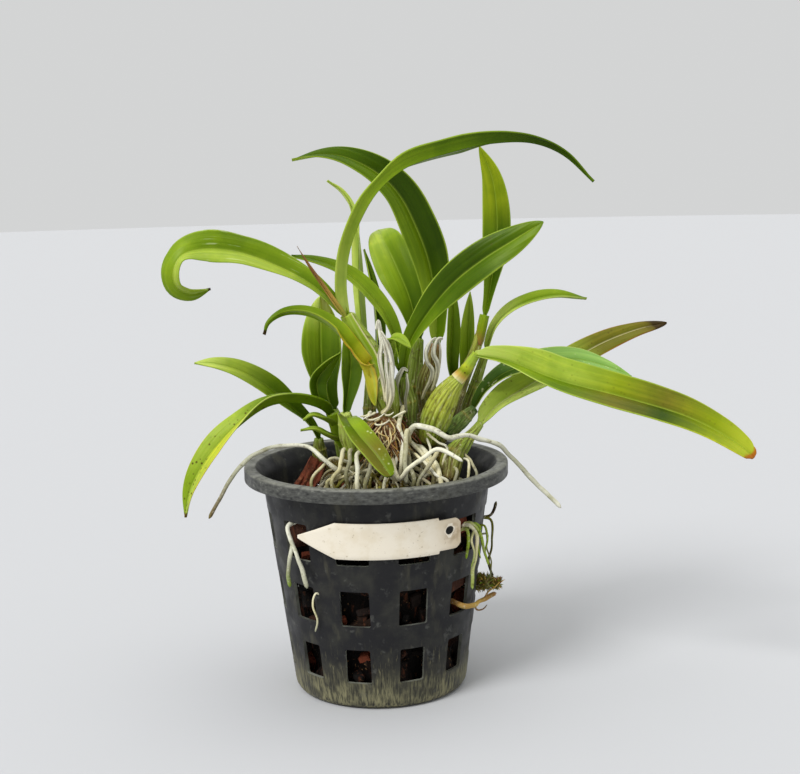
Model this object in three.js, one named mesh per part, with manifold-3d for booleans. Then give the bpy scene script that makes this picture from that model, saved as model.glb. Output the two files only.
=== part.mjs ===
// Cattleya orchid in a slotted plastic pot, in millimetres, +Z up.
// The origin is the centre of the pot's flat base, and the front of the plant faces -Y.
// Every piece is a separate closed solid, and pieces that touch keep a small clearance.
import * as THREE from "three";
import { mergeVertices } from "three/addons/utils/BufferGeometryUtils.js";
import Module from "manifold-3d";

const wasm = await Module();
wasm.setup();

const CLEARANCE = 0.35;
const UP = new THREE.Vector3(0, 0, 1);

// The pot is a thin moulded cup with a stiff rim and three rows of windows.
const POT = {
  height: 108,
  baseRadius: 41,
  neckRadius: 54,
  rimRadius: 62.5,
  rimHeight: 6.3,
  rimLand: 5.6,
  wall: 1.7,
  floor: 2.2,
  cornerRadius: 3,
  segments: 33,
};
const NECK_Z = POT.height - POT.rimHeight;
const WINDOW_COLUMNS = 11;
const WINDOW_START_DEG = 20;
const WINDOW_ROWS = [
  { z: 21.3, height: 16.5, width: 11.6 },
  { z: 49.5, height: 17, width: 13.6 },
  { z: 79.2, height: 17.5, width: 15.4 },
];
const DRAIN = { count: 6, ring: 25, width: 9, length: 13 };

// The plant label is bent round the front of the pot: a point at its left end,
// a narrower tab with a hole at its right end.
const LABEL = {
  z: 82.4,
  height: 17.2,
  thick: 0.8,
  gap: 0.6,
  bendRadius: 74,
  left: -36.5,
  pointLength: 18,
  tabStart: 28.5,
  tabInset: 1.3,
  right: 39.5,
  holeX: 34,
  holeRise: 1.8,
  holeRadius: 2,
  leanDeg: 7.3,
};

// The mix of bark and charcoal fills the pot and rises to a mound under the plant.
const MIX = {
  level: 88,
  moundHeight: 18,
  moundCentre: [5, 0],
  moundReach: [32, 34],
  coreInset: 7,
  seed: 11,
};
const BARK = {
  bark_slab: { size: [9, 6, 26], centre: [-33, -14, 100], lean: [0.47, 0.4, 0.76], seed: 3 },
  bark_chip: { size: [12, 8, 7], centre: [24, -34, 96], lean: [0.3, 0.2, 0.9], seed: 5 },
};

// The rhizome is the creeping stem that every pseudobulb stands on, with its branches.
const RHIZOME = [
  {
    radius: 3.2,
    path: [
      [-27, 21, 101], [-18, 6, 106], [-9, -5, 112], [6, -5, 124], [17, 0, 122], [27, -1, 115],
      [34, -13, 107], [34, -21, 101],
    ],
  },
  { radius: 3.2, path: [[17, 0, 122], [26, 11, 127], [36, 20, 123], [41, 27, 118]] },
  { radius: 3.2, path: [[6, -5, 124], [2, 10, 120], [-3, 25, 114], [-12, 26, 111]] },
  { radius: 3.2, path: [[2, 10, 120], [10, 20, 119], [18, 27, 116]] },
  { radius: 3.2, path: [[27, -1, 115], [33, 4, 118]] },
  { radius: 4.8, path: [[6, -7, 130], [5, -12, 126], [8, -14, 119]] },
];

// Pseudobulbs and leafy stems: an axis from the rhizome up, and radii along it.
const BULB_SIDES = 8;
const BULB_STEPS = 5;
const BULB_RIB = 0.9;
const BULBS = {
  stem_sheathed: {
    axis: [[8, -8, 129], [5, -12, 143], [1, -14, 157], [-6, -15, 170], [-11, -16, 180]],
    radii: [4.2, 6.6, 5.8, 4.8, 3],
  },
  bulb_middle: { axis: [[16, -2, 125], [15, -3, 138], [14, -4, 149]], radii: [4, 4.8, 2.2] },
  bulb_old: {
    axis: [[26, 11, 129], [25, 11, 145], [28, 12, 154], [30, 12, 162]],
    radii: [4.8, 5, 3.6, 2.4],
  },
  bulb_big: {
    axis: [[25, -4, 117], [31, -8, 135], [36, -10, 144], [41, -11, 150], [48, -12, 160]],
    radii: [4.8, 7.8, 6.4, 2.8, 1.7],
  },
  bulb_teal: { axis: [[34, 5, 119], [41, 7, 125], [48, 8, 131]], radii: [3.6, 4, 2.2] },
  bulb_low: {
    axis: [[33, -22, 102], [36, -16, 112], [41, -10, 117], [47, -3, 122], [50, 0, 125]],
    radii: [4.6, 5.6, 4.8, 2.8, 1.9],
  },
  stem_right: {
    axis: [[36, 17, 125], [44, 18, 146], [50, 20, 160], [54, 22, 174]],
    radii: [3.8, 3.4, 2.5, 2],
  },
  stem_far_right: { axis: [[42, 28, 120], [50, 27, 142], [55, 26, 157]], radii: [3.2, 2.8, 1.9] },
  stem_left: { axis: [[-27, 21, 102], [-28, 20, 109], [-28, 19, 116]], radii: [3.8, 3.6, 2.2] },
  stem_fan: { axis: [[-15, 4, 107], [-17, 2, 120], [-20, -1, 132]], radii: [3.4, 3.2, 2.8] },
  bulb_front: { axis: [[-9, -10, 111], [-12, -12, 124], [-14, -14, 134]], radii: [3.6, 5.2, 3] },
  bulb_back: { axis: [[18, 27, 116], [19, 27, 140], [22, 28, 163]], radii: [4, 5, 2.4] },
  bulb_back_left: { axis: [[-13, 26, 111], [-17, 23, 120], [-21, 20, 130]], radii: [3.4, 4, 2.4] },
  bulb_narrow: { axis: [[37, 29, 116], [38, 33, 126], [41, 32, 133]], radii: [3, 3.2, 2.4] },
  stem_thin: { axis: [[-3, 26, 115], [-3, 27, 130], [-3, 28, 143]], radii: [3, 3.4, 1.8] },
};

// Leaves, each from the top of its stem: the midrib from base to tip, the directions that
// the upper surface faces along it, the greatest width and where it is, the width at the base
// as a share of it, how far the two halves fold up in degrees, and how blunt the tip is
// (below 1 is blunter).
const LEAF_THICK = 1.5;
const LEAF_EDGE = 0.8;
const TIP_HALF_WIDTH = 0.8;
const LEAVES = {
  leaf_arching: {
    width: 13, widest: 0.45, base: 0.75, fold: [62, 40, 30, 22, 15], tip: 1,
    midrib: [
      [-11, -16, 179], [-12, -19, 194], [-10, -20, 209], [-5, -20, 222], [4, -18, 236],
      [17, -14, 246], [36, -9, 252], [56, -4, 256], [76, 2, 256], [91, 6, 250], [105, 9, 237],
    ],
    face: [
      [-1, -0.2, 0.2], [-0.9, 0, 0.3], [-0.6, 0.5, 0.6], [0, 0.75, 0.65], [0.1, 0.3, 0.95],
      [0.6, 0.2, 0.8],
    ],
  },
  leaf_curled: {
    width: 18.5, widest: 0.5, base: 0.4, fold: [45, 16, 22], tip: 1,
    midrib: [
      [-11, -16, 178], [-26, -19, 192], [-47, -24, 203], [-62, -28, 208], [-74, -31, 209],
      [-82, -34, 207], [-86, -35, 201], [-85, -34, 195], [-79, -32, 193], [-72, -30, 195],
    ],
    face: [[-0.3, -0.6, 0.8], [-0.1, -0.75, 0.8], [-0.2, -0.75, 0.8], [-1, -0.7, 0.1], [0, -0.8, -0.8]],
  },
  leaf_yellowing: {
    width: 11, widest: 0.25, base: 0.8, fold: [60, 45, 40], tip: 1.1,
    midrib: [
      [2, -15, 146], [-4, -21, 156], [-10, -22, 165], [-17, -22, 174], [-28, -24, 181], [-39, -27, 182],
      [-46, -29, 178], [-48, -30, 173],
    ],
    face: [[-0.5, -0.2, 0.8], [-0.2, -0.4, 1], [-0.6, -0.4, 0.6]],
  },
  leaf_back_left: {
    width: 22, widest: 0.5, base: 0.45, fold: [50, 28, 22], tip: 0.8,
    midrib: [[-21, 20, 129], [-25, 23, 144], [-26, 27, 158], [-26, 31, 172], [-26, 35, 184]],
    face: [[0.3, -1, 0.2], [0.1, -1, 0.2], [0.1, -0.8, 0.6]],
  },
  leaf_fan_short: {
    width: 10, widest: 0.45, base: 0.5, fold: [45, 22, 15], tip: 1,
    midrib: [[-20, 0, 130], [-26, -1, 139], [-27, 0, 147], [-22, -1, 154], [-15, -3, 161]],
    face: [[0.5, -0.9, 0], [0.4, -0.8, -0.3]],
  },
  leaf_low_left: {
    width: 13, widest: 0.5, base: 0.4, fold: [55, 22, 14], tip: 0.75,
    midrib: [
      [-28, 19, 115], [-32, 17, 123], [-41, 13, 133], [-52, 9, 144], [-64, 5, 152],
      [-75, 1, 156], [-84, -1, 157],
    ],
    face: [[0.2, -0.7, 0.7], [0.2, -0.75, 0.7], [0, -0.6, 0.8]],
  },
  leaf_drooping: {
    width: 13.5, widest: 0.62, base: 0.55, fold: [55, 30, 20], tip: 0.9,
    midrib: [
      [-20, -1, 131], [-27, -8, 137], [-37, -12, 140], [-49, -16, 139], [-62, -22, 131],
      [-75, -26, 118], [-84, -29, 103], [-87, -30, 90],
    ],
    face: [[0, 0.2, 1], [-0.1, 0.1, 1], [-0.5, -0.8, 0.5], [-0.8, -0.9, 0.3]],
  },
  leaf_tiny_upper: {
    width: 5, widest: 0.4, base: 0.6, fold: [40, 20, 10], tip: 1,
    midrib: [[-18, 0, 125], [-24, -9, 131], [-29, -12, 133], [-33, -14, 131]],
    face: [[0.2, -0.4, 1], [-0.3, -0.4, 1]],
  },
  leaf_tiny_lower: {
    width: 5, widest: 0.4, base: 0.6, fold: [40, 20, 10], tip: 1,
    midrib: [[-17, 1, 118], [-22, -10, 123], [-28, -15, 127], [-34, -18, 127]],
    face: [[0.2, -0.4, 1], [-0.1, -0.5, 1]],
  },
  leaf_thin: {
    width: 9, widest: 0.45, base: 0.5, fold: [65, 60, 50], tip: 1,
    midrib: [
      [-3, 28, 142], [-4, 31, 163], [-5, 36, 183], [-6, 40, 204], [-8, 42, 222],
      [-14, 42, 234], [-21, 40, 240],
    ],
    face: [[-0.9, -0.5, 0.1], [-0.9, -0.6, 0], [0.6, -0.5, 0.6]],
  },
  leaf_thin_dark: {
    width: 9, widest: 0.4, base: 0.5, fold: [60, 50, 40], tip: 1,
    midrib: [[-3, 28, 142], [1, 30, 158], [1, 33, 176], [-1, 37, 191], [-4, 41, 206]],
    face: [[0.7, -0.7, 0.1], [0.6, -0.8, 0.1]],
  },
  leaf_broad: {
    width: 21.5, widest: 0.36, base: 0.45, fold: [45, 24, 16], tip: 1.05,
    midrib: [
      [30, 12, 161], [30, 14, 180], [27, 16, 201], [21, 16, 218], [14, 13, 232], [6, 9, 241],
      [-3, 6, 247], [-13, 4, 251], [-23, 1, 252], [-35, -1, 250],
    ],
    face: [[0.1, -1, 0.1], [0.2, -1, 0.2], [0.3, -0.9, 0.5], [0.1, -0.5, 1]],
  },
  leaf_recurved: {
    width: 21, widest: 0.5, base: 0.4, fold: [40, 18, 12], tip: 0.9,
    midrib: [[22, 28, 162], [18, 30, 182], [13, 34, 195], [8, 41, 206], [5, 50, 212], [3, 62, 214]],
    face: [[-0.1, -1, 0.2], [-0.2, -1, 0.3], [-0.2, -0.4, 1]],
  },
  leaf_diagonal: {
    width: 18, widest: 0.62, base: 0.35, fold: [50, 12, 8], tip: 0.7,
    midrib: [
      [14, -4, 148], [17, -7, 164], [26, -11, 179], [38, -15, 193], [52, -19, 204],
      [65, -21, 212], [78, -23, 220],
    ],
    face: [[-0.5, -1, 0.3], [-0.4, -1, 0.3], [-0.3, -1, 0.4]],
  },
  leaf_upright: {
    width: 14.5, widest: 0.5, base: 0.35, fold: [50, 18, 12], tip: 0.85,
    midrib: [[54, 22, 173], [57, 24, 187], [60, 26, 204], [61, 28, 222], [59, 30, 240], [53, 32, 255]],
    face: [[-0.2, -1, 0.1], [-0.2, -1, 0.1], [-0.4, -1, 0]],
  },
  leaf_right_arch: {
    width: 9.5, widest: 0.5, base: 0.5, fold: [50, 28, 20], tip: 1,
    midrib: [[55, 26, 156], [59, 27, 167], [66, 30, 174], [77, 34, 179], [91, 38, 181], [106, 42, 179]],
    face: [[-0.4, -0.8, 0.7], [-0.2, -0.6, 1], [0.2, -0.5, 1]],
  },
  leaf_brown_tip: {
    width: 17, widest: 0.22, base: 0.65, fold: [45, 16, 12], tip: 0.6,
    midrib: [
      [50, 0, 124], [58, 4, 132], [72, 12, 139], [91, 20, 148], [111, 26, 158], [129, 30, 164],
      [144, 32, 167],
    ],
    face: [[-0.4, -0.8, 0.6], [-0.3, -0.8, 0.7], [-0.2, -0.8, 0.7]],
  },
  leaf_big_front: {
    width: 22.5, widest: 0.26, base: 0.42, fold: [45, 20, 16], tip: 0.5,
    midrib: [
      [47, -12, 159], [60, -15, 157], [84, -22, 148], [111, -29, 141], [138, -36, 133],
      [151, -40, 127], [162, -44, 120], [168, -46, 115],
    ],
    face: [[0.2, -0.75, 0.7], [0.2, -0.75, 0.7], [0.3, -0.8, 0.6]],
  },
  leaf_teal: {
    width: 14.5, widest: 0.5, base: 0.4, fold: [45, 20, 15], tip: 0.85,
    midrib: [
      [47, 8, 130], [53, 8, 140], [62, 8, 147], [79, 9, 152], [96, 8, 153], [109, 6, 150],
      [122, 4, 145],
    ],
    face: [[-0.4, -0.7, 0.6], [0, -0.6, 0.8], [0.2, -0.6, 0.8]],
  },
  leaf_narrow_a: {
    width: 9.5, widest: 0.45, base: 0.45, fold: [50, 35, 25], tip: 0.9,
    midrib: [[41, 32, 132], [37, 27, 148], [38, 27, 167], [39, 29, 190]],
    face: [[0.6, -0.9, 0], [0.4, -1, 0]],
  },
  leaf_narrow_b: {
    width: 9.5, widest: 0.45, base: 0.45, fold: [50, 35, 25], tip: 0.9,
    midrib: [[41, 32, 132], [46, 35, 148], [47, 37, 166], [48, 39, 184]],
    face: [[-0.5, -0.9, 0.1], [-0.3, -1, 0.1]],
  },
  leaf_young: {
    width: 7, widest: 0.65, base: 0.4, fold: [40, 20, 12], tip: 0.8,
    midrib: [[14, -4, 148], [9, -11, 160], [8, -17, 167], [12, -22, 168.5], [17.5, -26, 165]],
    face: [[-0.5, -1, 0.4], [0, -0.6, 1], [0.3, -0.7, 0.8]],
  },
  leaf_inner: {
    width: 11, widest: 0.5, base: 0.5, fold: [50, 22, 15], tip: 0.9,
    midrib: [
      [14, -4, 148], [11, 2, 163], [7, 4, 175], [-1, 6, 187], [-12, 6, 197], [-25, 4, 203],
      [-37, 2, 206],
    ],
    face: [[0.6, -0.7, 0.4], [0.4, -0.7, 0.7], [0.2, -0.6, 1]],
  },
  leaf_front_bent: {
    width: 13.5, widest: 0.35, base: 0.7, fold: [30, 16, 10], tip: 0.35,
    midrib: [[-13, -13, 131], [-12, -22, 131], [-7, -30, 126], [0, -38, 119], [7, -45, 110]],
    face: [[0.2, 0, 1], [0.3, -0.7, 0.8], [0.4, -0.7, 0.7]],
  },
  leaf_dark_left: {
    width: 12, widest: 0.5, base: 0.5, fold: [50, 30, 22], tip: 0.85,
    midrib: [[-14, -14, 133], [-12, -2, 145], [-11, 7, 156], [-13, 13, 168]],
    face: [[0.3, -1, 0], [0.2, -1, 0.2]],
  },
};

// Dry papery sheaths and bracts: thin strips that cling to the stems.
const SHEATH_THICK = 0.7;
const SHEATHS = {
  bract_brown: {
    width: 4,
    midrib: [[-11, -18, 177], [-18, -23, 188], [-26, -27, 201], [-32, -29, 212]],
    face: [[0.3, -1, 0.3], [0.3, -1, 0.3]],
  },
  sheath_white: {
    width: 5,
    midrib: [[7, -15, 134], [7, -18.5, 146], [6, -20.5, 157], [4, -21, 166], [2.5, -20, 175]],
    face: [[0.4, -1, 0], [0.5, -1, 0]],
  },
  sheath_grey: {
    width: 4.5,
    midrib: [[13, -6.5, 131], [13, -7.2, 141], [15, -8, 153]],
    face: [[-0.2, -1, 0], [0.2, -1, 0]],
  },
  sheath_curved: {
    width: 5,
    midrib: [[23, 6.5, 136], [27, 6, 147], [26, 7, 156], [30, 7.5, 166]],
    face: [[0, -1, 0], [0, -1, 0]],
  },
};

// Roots: the ones that stand out, then a seeded skirt that runs down over the mound.
const ROOT_SIDES = 5;
const CROWN_RADIUS = 2.4;
const CROWN_DROP = 5.9;
const FEATURE_ROOTS = [
  {
    radius: [1.7, 1.6, 1.1, 1.1, 1],
    path: [
      [12, -3, 117], [14, -13, 121], [19, -20, 128], [27, -25, 127], [34, -25, 123], [42, -18, 123],
      [49, -13, 120], [58, -9, 116], [65, -5, 108], [76, -6, 96], [87, -8, 85],
    ],
  },
  {
    radius: [1.3, 1.2, 1.1, 1, 0.9],
    path: [
      [-10, -4, 106], [-17, -16, 107], [-24, -18, 113], [-31, -13, 118], [-42, -13, 119],
      [-51, -18, 118], [-60, -26, 114], [-67, -30, 105], [-76, -33, 90],
    ],
  },
  {
    radius: [1.2, 1.2, 1],
    path: [
      [7, -4, 117], [8, -22, 112], [11, -37, 107], [15, -43, 113], [21, -42, 117],
      [28, -40, 121], [34, -42, 119], [39, -44, 116],
    ],
  },
  {
    radius: [1, 1.1, 1],
    path: [[15, -2, 116], [16, -16, 121], [15, -20, 126], [14, -24, 116], [14, -29, 103]],
  },
  { radius: [1.4, 1.4, 1.2], path: [[19, -2, 115], [22, -14, 116], [28, -24, 110], [31, -32, 98]] },
];
const ROOT_SKIRT = { count: 20, radius: [0.9, 1.5], reach: [16, 44], seed: 7, lift: 3 };

// Dry roots that have grown out through the windows and hang down outside the wall.
const WINDOW_ROOTS = {
  window_roots_left: [
    {
      radius: [1.1, 1.1, 1],
      path: [[-30, -28, 84], [-37, -34, 85.5], [-41, -38, 84], [-40, -37, 72], [-39, -35, 59]],
    },
    {
      radius: [1.1, 1.1, 1],
      path: [[-30, -28, 84], [-37, -34, 84.5], [-40, -39, 82], [-35, -41, 71], [-31, -42, 58]],
    },
  ],
  window_roots_right: [
    {
      radius: [1.2, 1.5, 1.4],
      path: [[36, -24, 82], [42, -32, 85], [45, -34, 80], [45, -31, 68], [43, -30, 55]],
    },
    {
      radius: [1.2, 1.1, 1],
      path: [[36, -24, 82], [42, -32, 84], [43, -35, 79], [42, -36, 72], [42, -34, 66]],
    },
    {
      radius: [1.2, 1.1, 0.9],
      path: [[36, -24, 82], [43, -31, 84], [47, -30, 78], [48, -24, 69], [51, -15, 59]],
    },
  ],
  dry_root_right: [
    {
      radius: [1, 0.8, 0.8],
      path: [[42, -1, 79], [49, -1, 79.5], [54, 0, 78], [54, 0, 66], [52, -1, 50]],
    },
    {
      radius: [1, 0.8, 0.8],
      path: [[49, -1, 79.5], [54, 0, 80], [56, 1, 83], [57, 1, 87]],
    },
  ],
  twig: [
    {
      radius: [1.3, 1.2, 1],
      path: [[33, -24, 46], [39, -29.5, 45], [44, -23, 43], [50, -10, 42], [56, -5, 43]],
    },
  ],
};
const MOSS_LUMPS = [[46, -3.5, 48, 4.4], [51, -4.5, 48, 4], [56, -3, 47, 3]];

const COLOURS = {
  pot: 0x3a3b37,
  label: 0xe9dfcb,
  mix: 0x6b3f27,
  slab: 0x8a5232,
  rhizome: 0x7a6a3e,
  bulb: 0x8f9a3a,
  leaf: 0x5d7d16,
  sheath: 0xd9d2b4,
  bract: 0xa5713f,
  root: 0xd0cba4,
  moss: 0x5f6e2e,
};

function seeded(seed) {
  let state = (seed * 2654435761) >>> 0;
  return () => {
    state = (state + 0x6d2b79f5) >>> 0;
    let t = Math.imul(state ^ (state >>> 15), 1 | state);
    t = (t + Math.imul(t ^ (t >>> 7), 61 | t)) ^ t;
    return ((t ^ (t >>> 14)) >>> 0) / 4294967296;
  };
}

function vector(point) {
  return new THREE.Vector3(...point);
}

function smoothstep(t) {
  const x = Math.min(1, Math.max(0, t));
  return x * x * (3 - 2 * x);
}

// The value at t from 0 to 1 in a list of evenly spaced numbers or directions.
function along(list, t) {
  const at = t * (list.length - 1);
  const i = Math.min(list.length - 2, Math.floor(at));
  const share = at - i;
  if (typeof list[0] === "number") return list[i] * (1 - share) + list[i + 1] * share;
  return vector(list[i]).lerp(vector(list[i + 1]), share);
}

function curveThrough(points) {
  return new THREE.CatmullRomCurve3(points.map(vector), false, "centripetal");
}

// A closed geometry as a solid, with its vertices merged and collapsed triangles left out.
function solidOf(geometry) {
  const bare = geometry.clone();
  bare.deleteAttribute("normal");
  bare.deleteAttribute("uv");
  const merged = mergeVertices(bare, 1e-4);
  const index = merged.index.array;
  const kept = [];
  for (let i = 0; i < index.length; i += 3) {
    const [a, b, c] = index.slice(i, i + 3);
    if (a !== b && b !== c && a !== c) kept.push(a, b, c);
  }
  const vertProperties = Float32Array.from(merged.attributes.position.array);
  const mesh = new wasm.Mesh({ numProp: 3, vertProperties, triVerts: new Uint32Array(kept) });
  return new wasm.Manifold(mesh);
}

function union(solids) {
  return solids.reduce((all, next) => all.add(next));
}

// The largest body of a solid, so that no loose scrap is kept.
function mainBody(solid) {
  return solid.decompose().sort((a, b) => b.volume() - a.volume())[0];
}

function geometryOf(solid) {
  const mesh = solid.getMesh();
  const positions = new Float32Array(mesh.numVert * 3);
  for (let i = 0; i < mesh.numVert; i++) {
    const start = i * mesh.numProp;
    positions.set(mesh.vertProperties.subarray(start, start + 3), i * 3);
  }
  const geometry = new THREE.BufferGeometry();
  geometry.setAttribute("position", new THREE.BufferAttribute(positions, 3));
  geometry.setIndex(new THREE.BufferAttribute(mesh.triVerts, 1));
  geometry.computeVertexNormals();
  return geometry;
}

// Skins a row of rings that each have the same number of points, and caps both ends.
function skin(rings) {
  const count = rings[0].length;
  const positions = rings.flat().flatMap((p) => [p.x, p.y, p.z]);
  const index = [];
  for (let r = 0; r + 1 < rings.length; r++) {
    for (let i = 0; i < count; i++) {
      const j = (i + 1) % count;
      const near = r * count;
      const far = near + count;
      index.push(near + i, near + j, far + j, near + i, far + j, far + i);
    }
  }
  const last = (rings.length - 1) * count;
  for (let i = 1; i + 1 < count; i++) index.push(0, i + 1, i, last, last + i, last + i + 1);
  const geometry = new THREE.BufferGeometry();
  geometry.setAttribute("position", new THREE.Float32BufferAttribute(positions, 3));
  geometry.setIndex(index);
  return geometry;
}

// A tapering stem or root along a smooth axis. With a rib below 1, every other corner is drawn in.
function stem(points, radii, { sides = ROOT_SIDES, steps = 6, grow = 0, rib = 1 } = {}) {
  const curve = curveThrough(points);
  const side = new THREE.Vector3(1, 0.3, 0.2);
  const rings = [];
  for (let s = 0; s <= steps; s++) {
    const t = s / steps;
    const tangent = curve.getTangentAt(t);
    const centre = curve.getPointAt(t);
    if (s === 0) centre.addScaledVector(tangent, -grow);
    if (s === steps) centre.addScaledVector(tangent, grow);
    side.addScaledVector(tangent, -side.dot(tangent)).normalize();
    const across = tangent.clone().cross(side);
    const radius = (typeof radii === "number" ? radii : along(radii, t)) + grow;
    const ring = [];
    for (let i = 0; i < sides; i++) {
      const angle = (2 * Math.PI * i) / sides;
      const reach = radius * (i % 2 ? rib : 1);
      const corner = centre.clone().addScaledVector(side, reach * Math.cos(angle));
      ring.push(corner.addScaledVector(across, reach * Math.sin(angle)));
    }
    rings.push(ring);
  }
  return solidOf(skin(rings));
}

// The leaf's width at t as a share of its greatest width.
function leafOutline(t, { widest = 0.4, base = 0.5, tip = 1 }) {
  if (t < widest) return base + (1 - base) * smoothstep(t / widest);
  const past = (t - widest) / (1 - widest);
  return Math.pow(Math.max(0, 1 - Math.pow(past, 2.2)), tip);
}

// A thin folded blade along a midrib: six corners a section, thicker at the midrib.
function blade(leaf, { thick, edge, steps, grow = 0 }) {
  const curve = curveThrough(leaf.midrib);
  const rings = [];
  for (let s = 0; s <= steps; s++) {
    const t = s / steps;
    const tangent = curve.getTangentAt(t);
    const centre = curve.getPointAt(t);
    if (s === 0) centre.addScaledVector(tangent, -grow);
    if (s === steps) centre.addScaledVector(tangent, grow);
    const normal = along(leaf.face, t);
    normal.addScaledVector(tangent, -normal.dot(tangent)).normalize();
    const side = tangent.clone().cross(normal);
    const half = Math.max(TIP_HALF_WIDTH, (leaf.width / 2) * leafOutline(t, leaf)) + grow;
    const fold = THREE.MathUtils.degToRad(along(leaf.fold ?? [20, 20], t));
    const rib = (offset) => centre.clone().addScaledVector(normal, offset);
    const margin = (sign, offset) => {
      const point = centre.clone();
      point.addScaledVector(side, sign * (half * Math.cos(fold) - offset * Math.sin(fold)));
      return point.addScaledVector(normal, half * Math.sin(fold) + offset * Math.cos(fold));
    };
    const top = edge / 2 + grow;
    rings.push([
      rib(thick / 2 + grow),
      margin(1, top),
      margin(1, -top),
      rib(-thick / 2 - grow),
      margin(-1, -top),
      margin(-1, top),
    ]);
  }
  return solidOf(skin(rings));
}

function potRadius(z) {
  return POT.baseRadius + ((POT.neckRadius - POT.baseRadius) * z) / NECK_Z;
}

function turned(profile, segments = POT.segments) {
  const lathe = new THREE.LatheGeometry(profile.map(([r, z]) => new THREE.Vector2(r, z)), segments);
  return solidOf(lathe.rotateX(Math.PI / 2));
}

function potBody() {
  const inner = (z) => potRadius(z) - POT.wall;
  return turned([
    [0, 0],
    [POT.baseRadius - POT.cornerRadius, 0],
    [POT.baseRadius - 0.6, 1.1],
    [potRadius(POT.cornerRadius), POT.cornerRadius],
    [POT.neckRadius, NECK_Z],
    [POT.rimRadius - 1, NECK_Z - 0.4],
    [POT.rimRadius, NECK_Z + 0.8],
    [POT.rimRadius, POT.height - 1],
    [POT.rimRadius - 1, POT.height],
    [POT.rimRadius - POT.rimLand, POT.height],
    [inner(NECK_Z), NECK_Z - 2],
    [inner(POT.floor), POT.floor],
    [0, POT.floor],
  ]);
}

function potOpenings() {
  const cutters = [];
  for (const row of WINDOW_ROWS) {
    for (let column = 0; column < WINDOW_COLUMNS; column++) {
      const azimuth = WINDOW_START_DEG + (360 * column) / WINDOW_COLUMNS;
      const box = new THREE.BoxGeometry(row.width, 14, row.height);
      box.translate(0, -potRadius(row.z), row.z);
      cutters.push(solidOf(box.rotateZ(THREE.MathUtils.degToRad(azimuth))));
    }
  }
  for (let i = 0; i < DRAIN.count; i++) {
    const box = new THREE.BoxGeometry(DRAIN.width, DRAIN.length, POT.floor * 4);
    box.translate(0, -DRAIN.ring, 0);
    cutters.push(solidOf(box.rotateZ((2 * Math.PI * i) / DRAIN.count)));
  }
  return union(cutters);
}

// The room inside the pot, less a clearance, carried up past the rim.
function potRoom() {
  const inner = (z) => potRadius(z) - POT.wall - 0.5;
  const top = POT.height + 40;
  const foot = POT.floor + CLEARANCE;
  const neck = NECK_Z - 3;
  return turned([[0, foot], [inner(foot), foot], [inner(neck), neck], [inner(neck), top], [0, top]], 22);
}

function labelHalfHeight(x) {
  const full = LABEL.height / 2;
  if (x < LABEL.left + LABEL.pointLength) {
    return 0.8 + (full - 0.8) * ((x - LABEL.left) / LABEL.pointLength);
  }
  if (x <= LABEL.tabStart) return full;
  const tab = full - LABEL.tabInset;
  const fromEnd = LABEL.right - x;
  return fromEnd < 3 ? tab - 0.25 * (3 - fromEnd) ** 2 : tab;
}

function labelPlate() {
  const { bendRadius, thick, tabStart, right, left, pointLength } = LABEL;
  const bent = (x, height, out) => {
    const angle = x / bendRadius;
    const radius = bendRadius + out;
    return new THREE.Vector3(radius * Math.sin(angle), bendRadius - radius * Math.cos(angle), height);
  };
  const shoulder = left + pointLength;
  const stations = [left, left + 6, left + 12, shoulder];
  for (const share of [0.2, 0.4, 0.6, 0.8, 1]) stations.push(shoulder + share * (tabStart - shoulder));
  stations.push(tabStart + 0.4, tabStart + 5, right - 3, right - 1, right);
  const rings = stations.map((x) => {
    const half = labelHalfHeight(x);
    const face = thick / 2;
    return [bent(x, -half, face), bent(x, -half, -face), bent(x, half, -face), bent(x, half, face)];
  });
  const hole = new THREE.CylinderGeometry(LABEL.holeRadius, LABEL.holeRadius, 12, 12);
  const centre = bent(LABEL.holeX, LABEL.holeRise, 0);
  hole.rotateZ(LABEL.holeX / bendRadius).translate(centre.x, centre.y, centre.z);
  const front = potRadius(LABEL.z) + LABEL.gap + thick / 2;
  const placed = (geometry) => {
    geometry.rotateX(THREE.MathUtils.degToRad(LABEL.leanDeg));
    return solidOf(geometry.translate(0, -front, LABEL.z));
  };
  return placed(skin(rings)).subtract(placed(hole));
}

function moundSurface(x, y) {
  const [cx, cy] = MIX.moundCentre;
  const [rx, ry] = MIX.moundReach;
  return MIX.level + MIX.moundHeight * Math.exp(-(((x - cx) / rx) ** 2) - ((y - cy) / ry) ** 2);
}

// An angular lump: a box with its eight corners shifted at random.
function chunk(size, centre, turn, random, grow = 0) {
  const box = new THREE.BoxGeometry(...size);
  box.deleteAttribute("uv");
  const corners = box.attributes.position;
  const shifts = new Map();
  const spread = 0.45 * Math.min(...size);
  for (let i = 0; i < corners.count; i++) {
    const signs = [corners.getX(i), corners.getY(i), corners.getZ(i)].map(Math.sign);
    const key = signs.join();
    if (!shifts.has(key)) shifts.set(key, signs.map((sign) => (random() - 0.5) * spread + grow * sign));
    const [dx, dy, dz] = shifts.get(key);
    corners.setXYZ(i, corners.getX(i) + dx, corners.getY(i) + dy, corners.getZ(i) + dz);
  }
  return solidOf(box.applyQuaternion(turn).translate(...centre));
}

function randomTurn(random) {
  return new THREE.Quaternion().setFromEuler(new THREE.Euler(random() * 6, random() * 6, random() * 6));
}

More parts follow.
